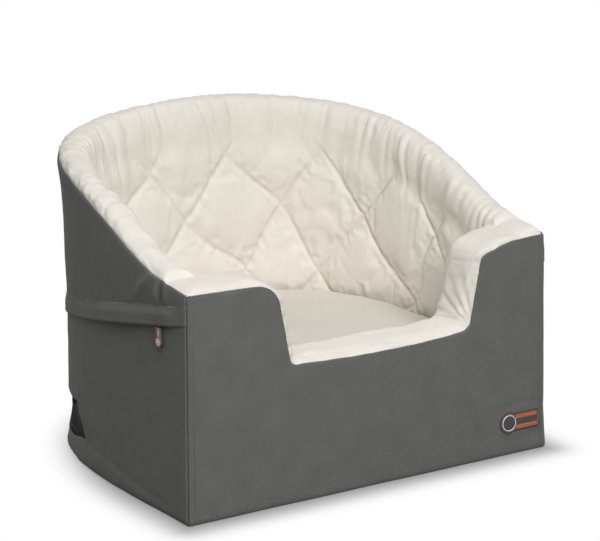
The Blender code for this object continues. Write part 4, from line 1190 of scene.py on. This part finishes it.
def make_wall_lining():
    start = CAP_DEPTH - LINING_TUCK
    u = np.linspace(start, TOTAL - start, round((TOTAL - 2 * start) / 0.0054) + 1)[:, None]
    fine, fine_u, row, normals = refine(swollen_lining(u), u)
    z, rim, reach = fine[..., 2].copy(), rim_height(fine_u), lining_reach(fine_u)
    on_roll = ease(row, 0.0, 3.0) * ease(ROLL_ROWS - row, 0.0, 8.0)
    inner_roll = ease(row, 9.0, 15.0)
    foot = ease(ROLL_ROWS + WALL_ROWS - row, 1.0, 4.0)
    on_wall = ease(row, ROLL_ROWS - 2, ROLL_ROWS + 1) * foot
    depth = np.where(row < 10, 0, np.maximum(rim + 0.009 - z, 0))
    first, second = quilt_places(reach, z)
    near, far = seam_distances(first, second)
    quilted = ease(depth, 0.045, 0.085) * on_wall
    move = -0.0020 * np.maximum(bump(near, 0.0022), bump(far, 0.0022)) * quilted
    # Small wrinkles that run away from the seams
    for away, along, seed in ((near, second, 81), (far, first, 82)):
        ripple = ridges(along * 13 + noise(along * 4, away / 0.03, seed + 9), away / 0.026, seed)
        move += 0.0026 * ripple * bump(away, 0.018) * (1 - 0.6 * bump(away, 0.003)) * quilted
    # Gathers that fall from the roll over the wall, gentler on the right
    drift = 0.8 * noise(reach / 0.075, depth / 0.065, 84)
    hang = ridges(reach / 0.0160 + drift, depth / 0.15, 83) * bump(depth, 0.105)
    small = ridges(reach / 0.0075 + drift, depth / 0.07, 85) * fade(depth, 0.055)
    long_fold = folds(reach / 0.040 + 0.5 * drift, depth / 0.40, 91) ** 2 * bump(depth, 0.140)
    gentle = 1 - 0.50 * ease(reach, 0.05, 0.28)
    move += (0.0072 * hang + 0.0036 * small + 0.0032 * long_fold) * inner_roll * foot * gentle
    move += 0.0013 * noise(reach / 0.035, z / 0.035, 86) * on_wall
    # Cross wrinkles of the roll
    slant = row * 0.12
    tight = ridges(fine_u / 0.0080 + slant + 0.6 * drift, row / 7.0, 87, 0.7)
    loose = ridges(fine_u / 0.026 - slant * 0.6, row / 9.0, 88)
    dense = 0.55 + 0.45 * noise(fine_u / 0.05, 3, 89)
    cross = ridges(fine_u / 0.0055 + slant * 1.5 + drift, row / 4.5, 92, 0.7)
    move += ((0.0024 * tight + 0.0013 * cross) * dense + 0.0022 * loose) * on_roll
    fine += normals * move[..., None]
    item = loft("wall_lining", fine, CREAM)
    dress(item, "seat", "cream_plush", "wall_liner")
    make_lining_stitches(fine, first, second, quilted)


def make_lining_stitches(points, first, second, shown):
    """Thread along the quilting's seams, where the sewn counts are whole numbers."""
    lines = []
    for count, other in ((first, second), (second, first)):
        for whole in range(math.floor(count.min()), math.ceil(count.max()) + 1):
            side = count - whole
            i, j = np.nonzero((side[:-1] * side[1:] < 0) & (shown[:-1] > 0.4))
            if len(i) < 4:
                continue
            t = (side[i, j] / (side[i, j] - side[i + 1, j]))[:, None]
            spots = points[i, j] * (1 - t) + points[i + 1, j] * t
            spots = spots[np.argsort(other[i, j])]
            gaps = np.flatnonzero(np.linalg.norm(np.diff(spots, axis=0), axis=1) > 0.02) + 1
            lines += [part for part in np.split(spots, gaps) if len(part) > 4]
    item = row_of("lining_stitches", lines, *LINING_STITCH, THREAD_CREAM)
    dress(item, "seat", "cream_plush")


def make_front_cap():
    """Padded roll over the front wall and its notch."""
    half_span = HALF_WIDTH - INNER
    turn = np.linspace(math.pi, 0, CAP_ROWS)
    depth = INNER + (CAP_DEPTH - INNER) * (boxed(np.cos(turn), 0.62) + 1) / 2
    depth = np.append(depth, np.linspace(CAP_DEPTH - 0.006, INNER + 0.006, CAP_FOOT_ROWS))
    rise = np.append(np.abs(np.sin(turn)) ** 0.62, np.zeros(CAP_FOOT_ROWS))
    low_line = notch_line(-FOAM_DROP, half_span, 0.0050)
    reach = lengths(low_line)
    ends = np.minimum(reach / 0.034, (reach[-1] - reach) / 0.005)
    full = np.sqrt(np.maximum(arch(ends), 0.01))[:, None]
    lines = [low_line + (notch_line(CAP_CROWN * share - FOAM_DROP, half_span, 0.0050)
                         - low_line) * full for share in rise]
    x, z = np.moveaxis(np.stack(lines, 1), -1, 0)
    depth = np.broadcast_to(depth[None, :], x.shape)
    side = np.clip(1 - (half_span - np.abs(x)) / 0.060, 0, 1)
    rings = np.stack([x, FRONT + depth, z + (rim_height(depth) - FRONT_HIGH) * side], -1)
    held = np.zeros(x.shape)
    held[:, :2] = held[:, CAP_ROWS - 2:] = 1
    held[:2] = held[-2:] = 1
    rings = swell("cap_sim", rings, held, 1.6, 0.0028, 0.02)
    rows = np.arange(x.shape[1])[None, :, None]
    line = np.arange(len(rings))[:, None, None]
    soft = (ease(rows, 3, 10) * ease(CAP_ROWS - rows, 0, 2) * ease(line, 0, 6)
            * ease(len(rings) - 1 - line, 2, 8))
    fine, reach, row, normals = refine(evened(rings, 10, 0, soft), reach[:, None])
    centre = reach[2 * np.argmin(np.abs(low_line[:, 0] - NOTCH_SHIFT)), 0]
    left, right = centre - NOTCH_HALF - 0.01, centre + NOTCH_HALF + 0.01
    # Wrinkles over the cap, deeper in the notch's low corners
    beside = np.minimum(np.abs(reach - left), np.abs(reach - right))
    move = 0.0008 * noise(reach / 0.030, row / 7, 101)
    move += 0.0022 * ridges(reach / 0.050 + row * 0.10, row / 5.0, 102)
    move += ((0.0010 + 0.0042 * bump(beside, 0.026))
             * ridges(reach / 0.012 + row * 0.10, row / 9, 103))
    # Creases that fan out from the right one
    along, inward = reach - right, fine[..., 1] - FRONT
    turn, apart = np.arctan2(along, inward + 0.004), np.hypot(along, inward)
    fan = sum(size * (bump(turn - at, 0.07) - 0.6 * bump(turn - at - 0.13, 0.07))
              for at, size in ((-0.20, 0.5), (0.42, 1.0), (0.78, 0.8), (1.12, 0.7)))
    move -= 0.0019 * fan * between(apart, 0.006, 0.022, 0.060, 0.100)
    # Gathers along the front edge
    move += 0.0011 * ridges(reach / 0.0066, row / 5, 104) * ease(6 - row, 0, 5)
    shown = ease(row, 0.0, 2.5) * ease(CAP_ROWS - row, 0.5, 3.0)
    fine += normals * (move * shown)[..., None]
    # The padding bulges past the panel's edge on the notch's left side
    upright = between(reach, left - 0.120, left - 0.085, left - 0.014, left + 0.004)
    fine[..., 0] += 0.0055 * upright * between(row, 0.8, 4.0, 7, 16)
    item = loft("front_cap", fine, CREAM)
    dress(item, "seat", "cream_plush", "front_liner")


def make_front_lining():
    """Flat padded lining on the inner face of the front wall."""
    half_span = HALF_WIDTH - 0.0505
    line = notch_corners(-0.0050, half_span)
    spots, keep = panel_grid(half_span, FLOOR, line, 0.0075)
    x, z = spots[..., 0], spots[..., 1]
    edge = nearest_on(line, spots.reshape(-1, 2))[1].reshape(x.shape)
    puff = quilt_puff(x, z) * 0.004 + 0.0005 * noise(x / 0.03, z / 0.03, 111)
    y = FRONT + CAP_DEPTH - 0.0065 + puff * (1 - fade(edge, 0.01))
    outer = np.stack([x, y, z], -1)[::-1]
    item = cloth_shell("front_lining", outer, spots[::-1], CREAM, 0.0105, keep[::-1])
    dress(item, "seat", "cream_plush")


# Floor pad and foams

PAD_POINTS, PAD_THICK, PAD_RECESS = 300, 0.0155, 0.028
# How far in, how high as a share of the pad's thickness, and how much of the ring's recess
PAD_SIDE = ((0.60, 0.0, 1), (0.25, 0.0, 1), (0.040, 0.0, 1), (0.012, 0.0, 1), (0.003, 0.10, 1),
            (0.0, 0.28, 1), (0.0004, 0.46, 1), (0.0022, 0.52, 1), (0.0004, 0.58, 1),
            (0.0006, 0.74, 1), (0.0035, 0.90, 1), (0.009, 1.0, 0.98))


def pad_loop(recess):
    """The floor pad's outline from above, from its left front corner round the back."""
    start = CAP_DEPTH + 0.0015
    u = np.linspace(start, TOTAL - start, 400)
    edge = place(u, 0.0745, 0)[:, :2]
    across = np.clip(np.abs(u - TOTAL / 2) / 0.036, 0, 1)
    edge[:, 1] -= recess * (1 - across ** 3)
    return evened(smooth_loop(edge, PAD_POINTS), 5)


def make_pad():
    top = [(draw, 1.0, max(1 - draw / 0.11, 0)) for draw in np.linspace(0.016, 0.17, 24)]
    rings = []
    for draw, rise, recess in (*PAD_SIDE, *top):
        share = draw if draw > 0.2 and rise == 0 else min(draw / 0.175, 0.985)
        crown = 0.0050 * (1 - math.exp(-max(draw - 0.006, 0) / 0.030)) if rise == 1.0 else 0.0
        layer = (1 - share, FLOOR + PAD_THICK * rise + crown)
        rings += stacked(pad_loop(PAD_RECESS * recess), [layer])
    rings = np.array(rings)
    held = np.zeros(rings.shape[:2])
    held[:5] = held[6:8] = 1
    rings = swell("pad_sim", rings, held, 1.5, 0.0035, 0.03)
    x, y, z = np.moveaxis(rings, -1, 0)
    level = ease(z, FLOOR + 0.010, FLOOR + 0.016)
    z += level * (0.0008 * noise(x / 0.04, y / 0.04, 121)
                  + 0.0012 * puckers(x / 0.05 + y / 0.09, y / 0.05, 122, 0.33))
    np.minimum(z, PAD_HIGH.z + 0.004, out=z)
    # The pad's darker colour is painted shade on the seat's floor.
    item = loft("pad", rings, CREAM_PRESSED_PAINTED_SHADE)
    dress(item, "floor_pad", "cream_plush", "floor_pad")


def make_slab(name, node, inset, top_gap=0.0):
    """A foam slab of the raised floor, with soft edges."""
    low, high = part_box(node)
    u = np.linspace(0.004, TOTAL - 0.004, 260)
    edge = place(u, inset(u), 0)[:, :2]
    edge[:, 1] = np.maximum(edge[:, 1], low.y)
    bottom, top, round_off = low.z, high.z - top_gap, 0.0020
    layers = ((0.5, bottom), (0.992, bottom), (1.0, bottom + round_off),
              (1.0, top - round_off), (0.992, top), (0.5, top))
    item = loft(name, stacked(smooth_loop(edge, 240), layers), FOAM)
    dress(item, "seat", "foam", node)


def beside_cover(u):
    return INNER + 0.0020 + 0 * u


def beside_channel(u):
    return INNER + 0.0022 + (CHANNEL_DEPTH - INNER + 0.0008) * channel_share(u)


def make_foams():
    """The soft core: raised floor, bent wall and front wall."""
    make_slab("slab_bottom", "platform_foam_bottom", beside_cover)
    make_slab("slab_middle", "platform_foam_middle", beside_channel)
    make_slab("slab_top", "platform_foam_top", beside_cover, 0.0006)
    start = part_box("wall_foam")[0].y - FRONT + 0.0005
    u = np.linspace(start, TOTAL - start, 180)[:, None]
    tall = rim_height(u) - 0.012 - FLOOR
    section = ((0.0048, 0.0), (0.0048, 0.5), (0.0048, 1.0), (FOAM_TOP - 0.001, 1.0),
               (FOAM_BASE - 0.001, 0.0))
    rings = [place(u, inset, FLOOR + tall * share)[:, 0] for inset, share in section]
    item = dress(loft("wall_core", np.stack(rings, 1), FOAM), "seat", "foam", "wall_foam")
    half_span = HALF_WIDTH - 0.0060
    spots, keep = panel_grid(half_span, 0.004, notch_corners(-0.0075, half_span), 0.0085)
    y = np.full(spots.shape[:2], FRONT + 0.0034)
    outer = np.stack([spots[..., 0], y, spots[..., 1]], -1)
    item = cloth_shell("front_core", outer, spots, FOAM, 0.0585, keep)
    dress(item, "seat", "foam", "front_foam")
    u = np.linspace(CAP_DEPTH - 0.018, TOTAL - CAP_DEPTH + 0.018, 240)
    loop = smooth_loop(place(u, 0.052, 0)[:, :2], 220)
    layers = ((0.4, 0.1495), (0.995, 0.1495), (1.0, 0.1499), (0.995, 0.1503), (0.7, 0.1503),
              (0.35, 0.1503))
    item = dress(loft("platform_sheet", stacked(loop, layers), CREAM), "seat", "cream_plush")
    declare_cloth(item, 0.51, 0.42, ["slab_top"])


# Tether, puller, badge

def tether_middle():
    """The tether loop's middle, seen along the ring's axis, and half its depth."""
    low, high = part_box("tether_loop")
    return (low.y + high.y) / 2, (high.y - low.y) / 2


def make_tether():
    low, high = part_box("tether_loop")
    axis_y, outside = tether_middle()
    heights = (FLOOR, FLOOR + 0.012, TETHER_AXIS_Z - 0.012)
    over = [(-outside * math.cos(a), TETHER_AXIS_Z + outside * math.sin(a))
            for a in np.linspace(0, math.pi, 15)]
    path = np.array([(-outside, z) for z in heights] + over
                    + [(outside, z) for z in reversed(heights)])
    length = lengths(path)[-1]
    at = np.linspace(0, length, 60)
    line = sample(path, at)
    x = np.linspace(low.x, high.x, 15)[None, :]
    rib = 0.00012 * np.cos(2 * math.pi * x / 0.004)
    tangent = unit(np.gradient(line, axis=0))
    y, z = (line[:, n, None] + way[:, None] * rib
            for n, way in ((0, -tangent[:, 1]), (1, tangent[:, 0])))
    outer = np.stack(np.broadcast_arrays(x, axis_y + y, z), -1)
    uv = np.stack(np.broadcast_arrays(x, at[:, None]), -1)
    item = cloth_shell("tether_webbing", outer, uv, WEBBING, 0.0016)
    dress(item, "seat", "black_webbing", "tether_loop")
    # A sewn box with a cross
    face = axis_y - outside - 0.0001
    half, bottom, top = 0.0075, FLOOR + 0.018, TETHER_AXIS_Z - 0.010
    paths = ([(-half, bottom), (half, bottom), (half, top), (-half, top), (-half, bottom),
              (half, top)], [(-half, top), (half, bottom)])
    lines = [[(px, face, pz) for px, pz in path] for path in paths]
    stitches = row_of("webbing_stitches", lines, *WEBBING_STITCH, THREAD_GREY)
    dress(stitches, "seat", "black_webbing")


def make_ring():
    """Smooth bent-wire D ring, hanging at rest against its loop."""
    low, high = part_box("tether_ring")
    axis_y, outside = tether_middle()
    wire, skin = RING_WIRE, RING_WIRE * 0.97
    drop = RING_REACH - wire
    tilt = math.asin((outside + wire + 0.0012) / (RING_REACH - 2 * wire))
    half = (high.x - low.x) / 2 - wire * 0.98
    bar = [(half * (2 * k / 12 - 1), 0.0) for k in range(12)]
    bow = [(half * math.cos(a), -drop * math.sin(a) ** 0.8)
           for a in np.linspace(0, math.pi, 40, endpoint=False)]
    path = evened(np.array(bar + bow), 2)
    tangent = unit(np.roll(path, -1, 0) - np.roll(path, 1, 0))
    normal = np.stack([tangent[:, 1], -tangent[:, 0]], -1)
    sine, cosine = math.sin(tilt), math.cos(tilt)
    rings = []
    for angle in np.linspace(0, 2 * math.pi, 16, endpoint=False):
        x, down = (path + normal * skin * math.cos(angle)).T
        depth = skin * math.sin(angle)
        rings.append(np.stack([x, axis_y + down * sine + depth * cosine,
                               TETHER_AXIS_Z + down * cosine - depth * sine], -1))
    ring = loft("d_ring", np.stack(rings, 1), STEEL, joined=True)
    dress(ring, "tether_ring", "ring_steel", "tether_ring")


def in_plane(flat, level, axis):
    """An outline's points in the plane across the x or y axis, at a level along it."""
    parts = list(flat.T)
    parts.insert("xy".index(axis), np.full(len(flat), level))
    return np.stack(parts, -1)


def raised(name, outline, start, end, edge, axis, material):
    """A plate with rounded edges: an outline in the plane across an axis, raised along it."""
    outline = np.asarray(outline, float)
    ahead = np.roll(outline, -1, 0)
    step = unit(ahead - np.roll(outline, 1, 0))
    inward = np.stack([-step[:, 1], step[:, 0]], -1)
    if np.sum(outline[:, 0] * ahead[:, 1] - ahead[:, 0] * outline[:, 1]) < 0:
        inward = -inward
    rings = [in_plane(outline + inward * edge * share, start + (end - start) * height, axis)
             for share, height in ((0.35, 0.0), (0.0, 0.18), (0.0, 0.55), (0.30, 0.86),
                                   (1.0, 1.0))]
    return loft(name, rings, material, fan=False)


def band(name, outer, inner, start, end, axis, material):
    """A raised border between two outlines of the same number of points."""
    rings = [in_plane(outer + (inner - outer) * share, start + (end - start) * height, axis)
             for share, height in ((0.0, 0.0), (0.0, 0.6), (0.18, 1.0), (0.82, 1.0), (1.0, 0.6),
                                   (1.0, 0.0))]
    return loft(name, np.stack(rings, 1), material, joined=True)


def circle(centre, radius, count=40):
    angle = np.linspace(0, 2 * math.pi, count, endpoint=False)
    return np.stack([centre[0] + radius * np.cos(angle), centre[1] + radius * np.sin(angle)], -1)


def rectangle(left, right, low, high, count):
    """A rectangle's outline from its corner at left and low, as evenly spaced points."""
    corners = np.array([(left, low), (right, low), (right, high), (left, high)])
    return smooth_loop(corners, count)


TAB_HALF, TAB_DISC, TAB_DISC_Z = 0.00625, 0.0080, -0.0190
EMBEDDED = 0.0002


def tab_outline(shrink, top, pivot):
    """The puller seen from the side as (y, z): straight sides and a round disc."""
    half, radius = TAB_HALF - shrink, TAB_DISC - shrink
    meet = math.asin(half / radius)
    neck = TAB_DISC_Z + radius * math.cos(meet)
    angles = [meet + 2 * (math.pi - meet) * k / 30 for k in range(1, 30)]
    points = [(-half + 0.0008, top), (-half, top - 0.0008), (-half, neck)]
    points += [(-radius * math.sin(a), TAB_DISC_Z + radius * math.cos(a)) for a in angles]
    points += [(half, neck), (half, top - 0.0008), (half - 0.0008, top)]
    return np.array(points) + pivot


def make_puller():
    """Rubber puller with a coloured border, a plain disc and a bar."""
    low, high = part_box("pull_tab")
    y, z = pivot = ((low.y + high.y) / 2, PULLER_PIVOT_Z)
    face, foot = low.x, low.x + EMBEDDED
    body = raised("puller_body", tab_outline(0, 0.0018, pivot), high.x, face, 0.0007, "x",
                  RUBBER)
    dress(body, "pull_tab", "dark_rubber", "pull_tab")
    border = band("puller_border", tab_outline(0.0010, 0.0008, pivot),
                  tab_outline(0.0024, -0.0010, pivot), foot, face - 0.0007, "x", COPPER)
    dress(border, "pull_tab", "copper_rubber", "pull_inlay")
    centre = (y, z + TAB_DISC_Z)
    ring = band("puller_ring", circle(centre, 0.0066), circle(centre, 0.0056), foot,
                face - 0.0008, "x", COPPER)
    disc = raised("puller_disc", circle(centre, 0.0055), foot, face - 0.0006, 0.0005, "x", WHITE)
    bar = rectangle(y - 0.0016, y + 0.0016, z - 0.0020, z - 0.0118, 48)
    strip = raised("puller_strip", bar, foot, face - 0.0005, 0.0004, "x", WHITE)
    for item in (ring, disc, strip):
        dress(item, "pull_tab", "copper_rubber")


def badge_outline(margin):
    """A round left end and a lower bar with rounded corners, as (x, z), and the end's centre."""
    low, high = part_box("badge")
    radius = (high.z - low.z) / 2 - margin
    centre = (low.x + (high.z - low.z) / 2, (low.z + high.z) / 2)
    half = 0.0138 - margin
    right, corner = high.x - margin, 0.0050 - margin * 0.5
    meet = math.asin(half / radius)
    parts = [(centre[0], centre[1], radius, np.linspace(meet, 2 * math.pi - meet, 60))]
    for z, first in ((centre[1] - half + corner, -math.pi / 2),
                     (centre[1] + half - corner, 0.0)):
        parts.append((right - corner, z, corner, np.linspace(first, first + math.pi / 2, 10)))
    points = [(x + size * math.cos(a), z + size * math.sin(a))
              for x, z, size, angles in parts for a in angles]
    return smooth_loop(np.array(points), 200), centre


def make_badge():
    """Moulded patch with a border line, a plain ring and disc, and two bars."""
    low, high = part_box("badge")
    face, foot = low.y, low.y + EMBEDDED
    outline, centre = badge_outline(0)
    plate = raised("badge_plate", outline, high.y, face, 0.0008, "y", RUBBER)
    dress(plate, "seat", "dark_rubber", "badge")
    border = band("badge_line", badge_outline(0.0030)[0], badge_outline(0.0041)[0], foot,
                  face - 0.0006, "y", COPPER)
    dress(border, "seat", "copper_rubber", "badge_border")
    ring = band("badge_ring", circle(centre, 0.0122, 60), circle(centre, 0.0108, 60), foot,
                face - 0.0008, "y", WHITE)
    dress(ring, "seat", "copper_rubber")
    dot = raised("badge_disc", circle(centre, 0.0106, 60), foot, face - 0.0004, 0.0004, "y",
                 RUBBER)
    dress(dot, "seat", "dark_rubber")
    rise = 0.0072
    left = centre[0] + math.sqrt(0.0136 ** 2 - rise ** 2)
    for name, z in (("badge_bar_upper", centre[1] + rise), ("badge_bar_lower", centre[1] - rise)):
        bar = rectangle(left, high.x - 0.0050, z - 0.0024, z + 0.0024, 60)
        dress(raised(name, bar, foot, face - 0.0005, 0.0004, "y", COPPER), "seat",
              "copper_rubber")


def make_cover_stitches():
    """Top-stitching beside the corner seams and along the flap's and sleeve's edges."""
    z = np.linspace(0.008, FRONT_HIGH - 0.010, 60)
    y = np.full(60, FRONT - 0.0001)
    lines = [np.stack([np.full(60, side * (SEAM_X - 0.0088)), y, z], -1) for side in (-1, 1)]
    u = np.linspace(0.012, TOTAL - 0.012, 300)
    lines.append(place(u, -0.0024, zip_height(u) + FLAP_RISE - 0.0030))
    u = np.linspace(SLEEVE_START + 0.004, TOTAL - SLEEVE_START - 0.004, 120)
    lines += [place(u, -0.0040, height) for height in (WINDOW_LOW - 0.008, WINDOW_HIGH + 0.008)]
    item = row_of("cover_stitches", lines, *COVER_STITCH, THREAD_GREY)
    dress(item, "seat", "grey_cloth")


def finish_hidden():
    """Finishes for the frame's own pieces that stay: the board and the zip's hardware."""
    finishes = {"base_board": BOARD, "zip_slider": METAL, "pull_link": METAL,
                "zip_stop_front": METAL, "zip_stop_rear": METAL}
    for name, material in finishes.items():
        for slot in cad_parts[name].material_slots:
            slot.material = material


# Studio

CAMERA_TURN, CAMERA_RISE, CAMERA_DISTANCE = math.radians(-33.62), math.radians(15.3), 4.04
CAMERA_TARGET = Vector((-0.0245, -0.1125, 0.2845))
# Name, place, target, size and watts
LIGHTS = (("key", (-0.55, -3.2, 2.2), (0, 0, 0.2), 1.6, 86),
          ("high_left", (-1.1, -1.2, 2.8), (0, 0, 0.2), 1.6, 21))
DOME_LOW, DOME_RISE, DOME_COLOUR = 0.07, 0.60, (0.98, 0.99, 1.0, 1)
FLOOR_HALF, FLOOR_DROP = 14.0, 0.0004
SHADOW_REACH, SHADOW_DEPTH = 0.034, 0.58
SHADOW_BLEND = (0.020, 0.080)
ALL_WHITE = (1, 1, 1, 1)


def make_camera():
    data = bpy.data.cameras.new("camera")
    data.lens, data.sensor_width, data.sensor_fit = 171.0, 36.0, "HORIZONTAL"
    data.clip_end = 60
    camera = link(bpy.data.objects.new("camera", data))
    level = math.cos(CAMERA_RISE)
    away = Vector((math.sin(CAMERA_TURN) * level, -math.cos(CAMERA_TURN) * level,
                   math.sin(CAMERA_RISE)))
    camera.location = CAMERA_TARGET + away * CAMERA_DISTANCE
    camera.rotation_euler = (-away).to_track_quat("-Z", "Y").to_euler()
    bpy.context.scene.camera = camera


def make_lights():
    for name, location, target, size, power in LIGHTS:
        data = bpy.data.lights.new(name, "AREA")
        data.shape, data.size, data.energy = "DISK", size, power
        lamp = link(bpy.data.objects.new(name, data))
        lamp.location = location
        way = Vector(target) - Vector(location)
        lamp.rotation_euler = way.to_track_quat("-Z", "Y").to_euler()


def coordinates(tree, kind):
    """The three parts of a place or direction."""
    return split(tree, tree.nodes.new("ShaderNodeTexCoord").outputs[kind])


def shader(tree, kind, colour, **strength):
    return add(tree, "ShaderNode" + kind, {"Color": colour, **strength}).outputs[0]


def mixed(tree, factor, first, second):
    return add(tree, "ShaderNodeMixShader", {0: factor, 1: first, 2: second}).outputs[0]


def seen_rays(tree):
    """1 for rays that show the background: from the camera, in a reflection or through glass."""
    path = tree.nodes.new("ShaderNodeLightPath").outputs
    camera, glossy, through = (Number(path["Is %s Ray" % kind])
                               for kind in ("Camera", "Glossy", "Transmission"))
    return maths("MAXIMUM", maths("MAXIMUM", camera, glossy), through)


def make_world():
    """A dome that is brighter overhead, and plain white where it is seen."""
    world = bpy.data.worlds.new("studio")
    bpy.context.scene.world = world
    world.use_nodes = True
    tree = world.node_tree
    tree.nodes.clear()
    height = maths("MAXIMUM", coordinates(tree, "Generated")[2])
    soft = shader(tree, "Background", DOME_COLOUR,
                  Strength=height * height * DOME_RISE + DOME_LOW)
    white = shader(tree, "Background", ALL_WHITE, Strength=1.0)
    add(tree, "ShaderNodeOutputWorld", {0: mixed(tree, seen_rays(tree), soft, white)})


def make_floor():
    """A floor that is white where it is seen, with a soft shadow round the seat's foot."""
    size = FLOOR_HALF
    mesh = bpy.data.meshes.new("floor")
    corners = ((-size, -size), (size, -size), (size, size), (-size, size))
    mesh.from_pydata([(x, y, -FLOOR_DROP) for x, y in corners], [], [(0, 1, 2, 3)])
    floor = link(bpy.data.objects.new("floor", mesh))
    material = bpy.data.materials.new("studio_floor")
    mesh.materials.append(material)
    material.use_nodes = True
    tree = material.node_tree
    tree.nodes.clear()
    x, y, _ = coordinates(tree, "Object")
    along = maths("MAXIMUM", y - (FRONT + SIDE_STRAIGHT)) / BACK_REACH
    round_foot = hypotenuse(x / HALF_WIDTH, along)
    beside = maths("MAXIMUM", (round_foot - 1.0) * HALF_WIDTH)
    before = maths("MAXIMUM", FRONT - y)
    reach = hypotenuse(beside, before)
    fall = maths("POWER", reach / SHADOW_REACH, 1.5)
    share = 1.0 - maths("EXPONENT", fall * -1.0) * SHADOW_DEPTH
    bright = shader(tree, "BsdfDiffuse", share * 0.36)
    glow = shader(tree, "Emission", ALL_WHITE, Strength=share * 0.68)
    near = add(tree, "ShaderNodeAddShader", {0: bright, 1: glow}).outputs[0]
    low, high = SHADOW_BLEND
    outer = add(tree, "ShaderNodeMapRange", {"Value": reach, "From Min": low, "From Max": high},
                interpolation_type="SMOOTHSTEP").outputs[0]
    shown = mixed(tree, outer, near, shader(tree, "Emission", ALL_WHITE, Strength=1.0))
    plain = shader(tree, "BsdfDiffuse", (0.16, 0.16, 0.16, 1))
    add(tree, "ShaderNodeOutputMaterial", {0: mixed(tree, seen_rays(tree), plain, shown)})


for make in (make_camera, make_world, make_floor, make_lights, make_foams, make_upper_cover,
             make_lower_cover, make_front_cover, make_front_edge, make_bottom_cover, make_sleeve,
             make_flap, make_zip, make_channel, make_wall_lining, make_front_cap,
             make_front_lining, make_pad, make_tether, make_ring, make_puller, make_badge,
             make_cover_stitches, finish_hidden):
    make()
bpy.context.scene.view_settings.view_transform = "Standard"
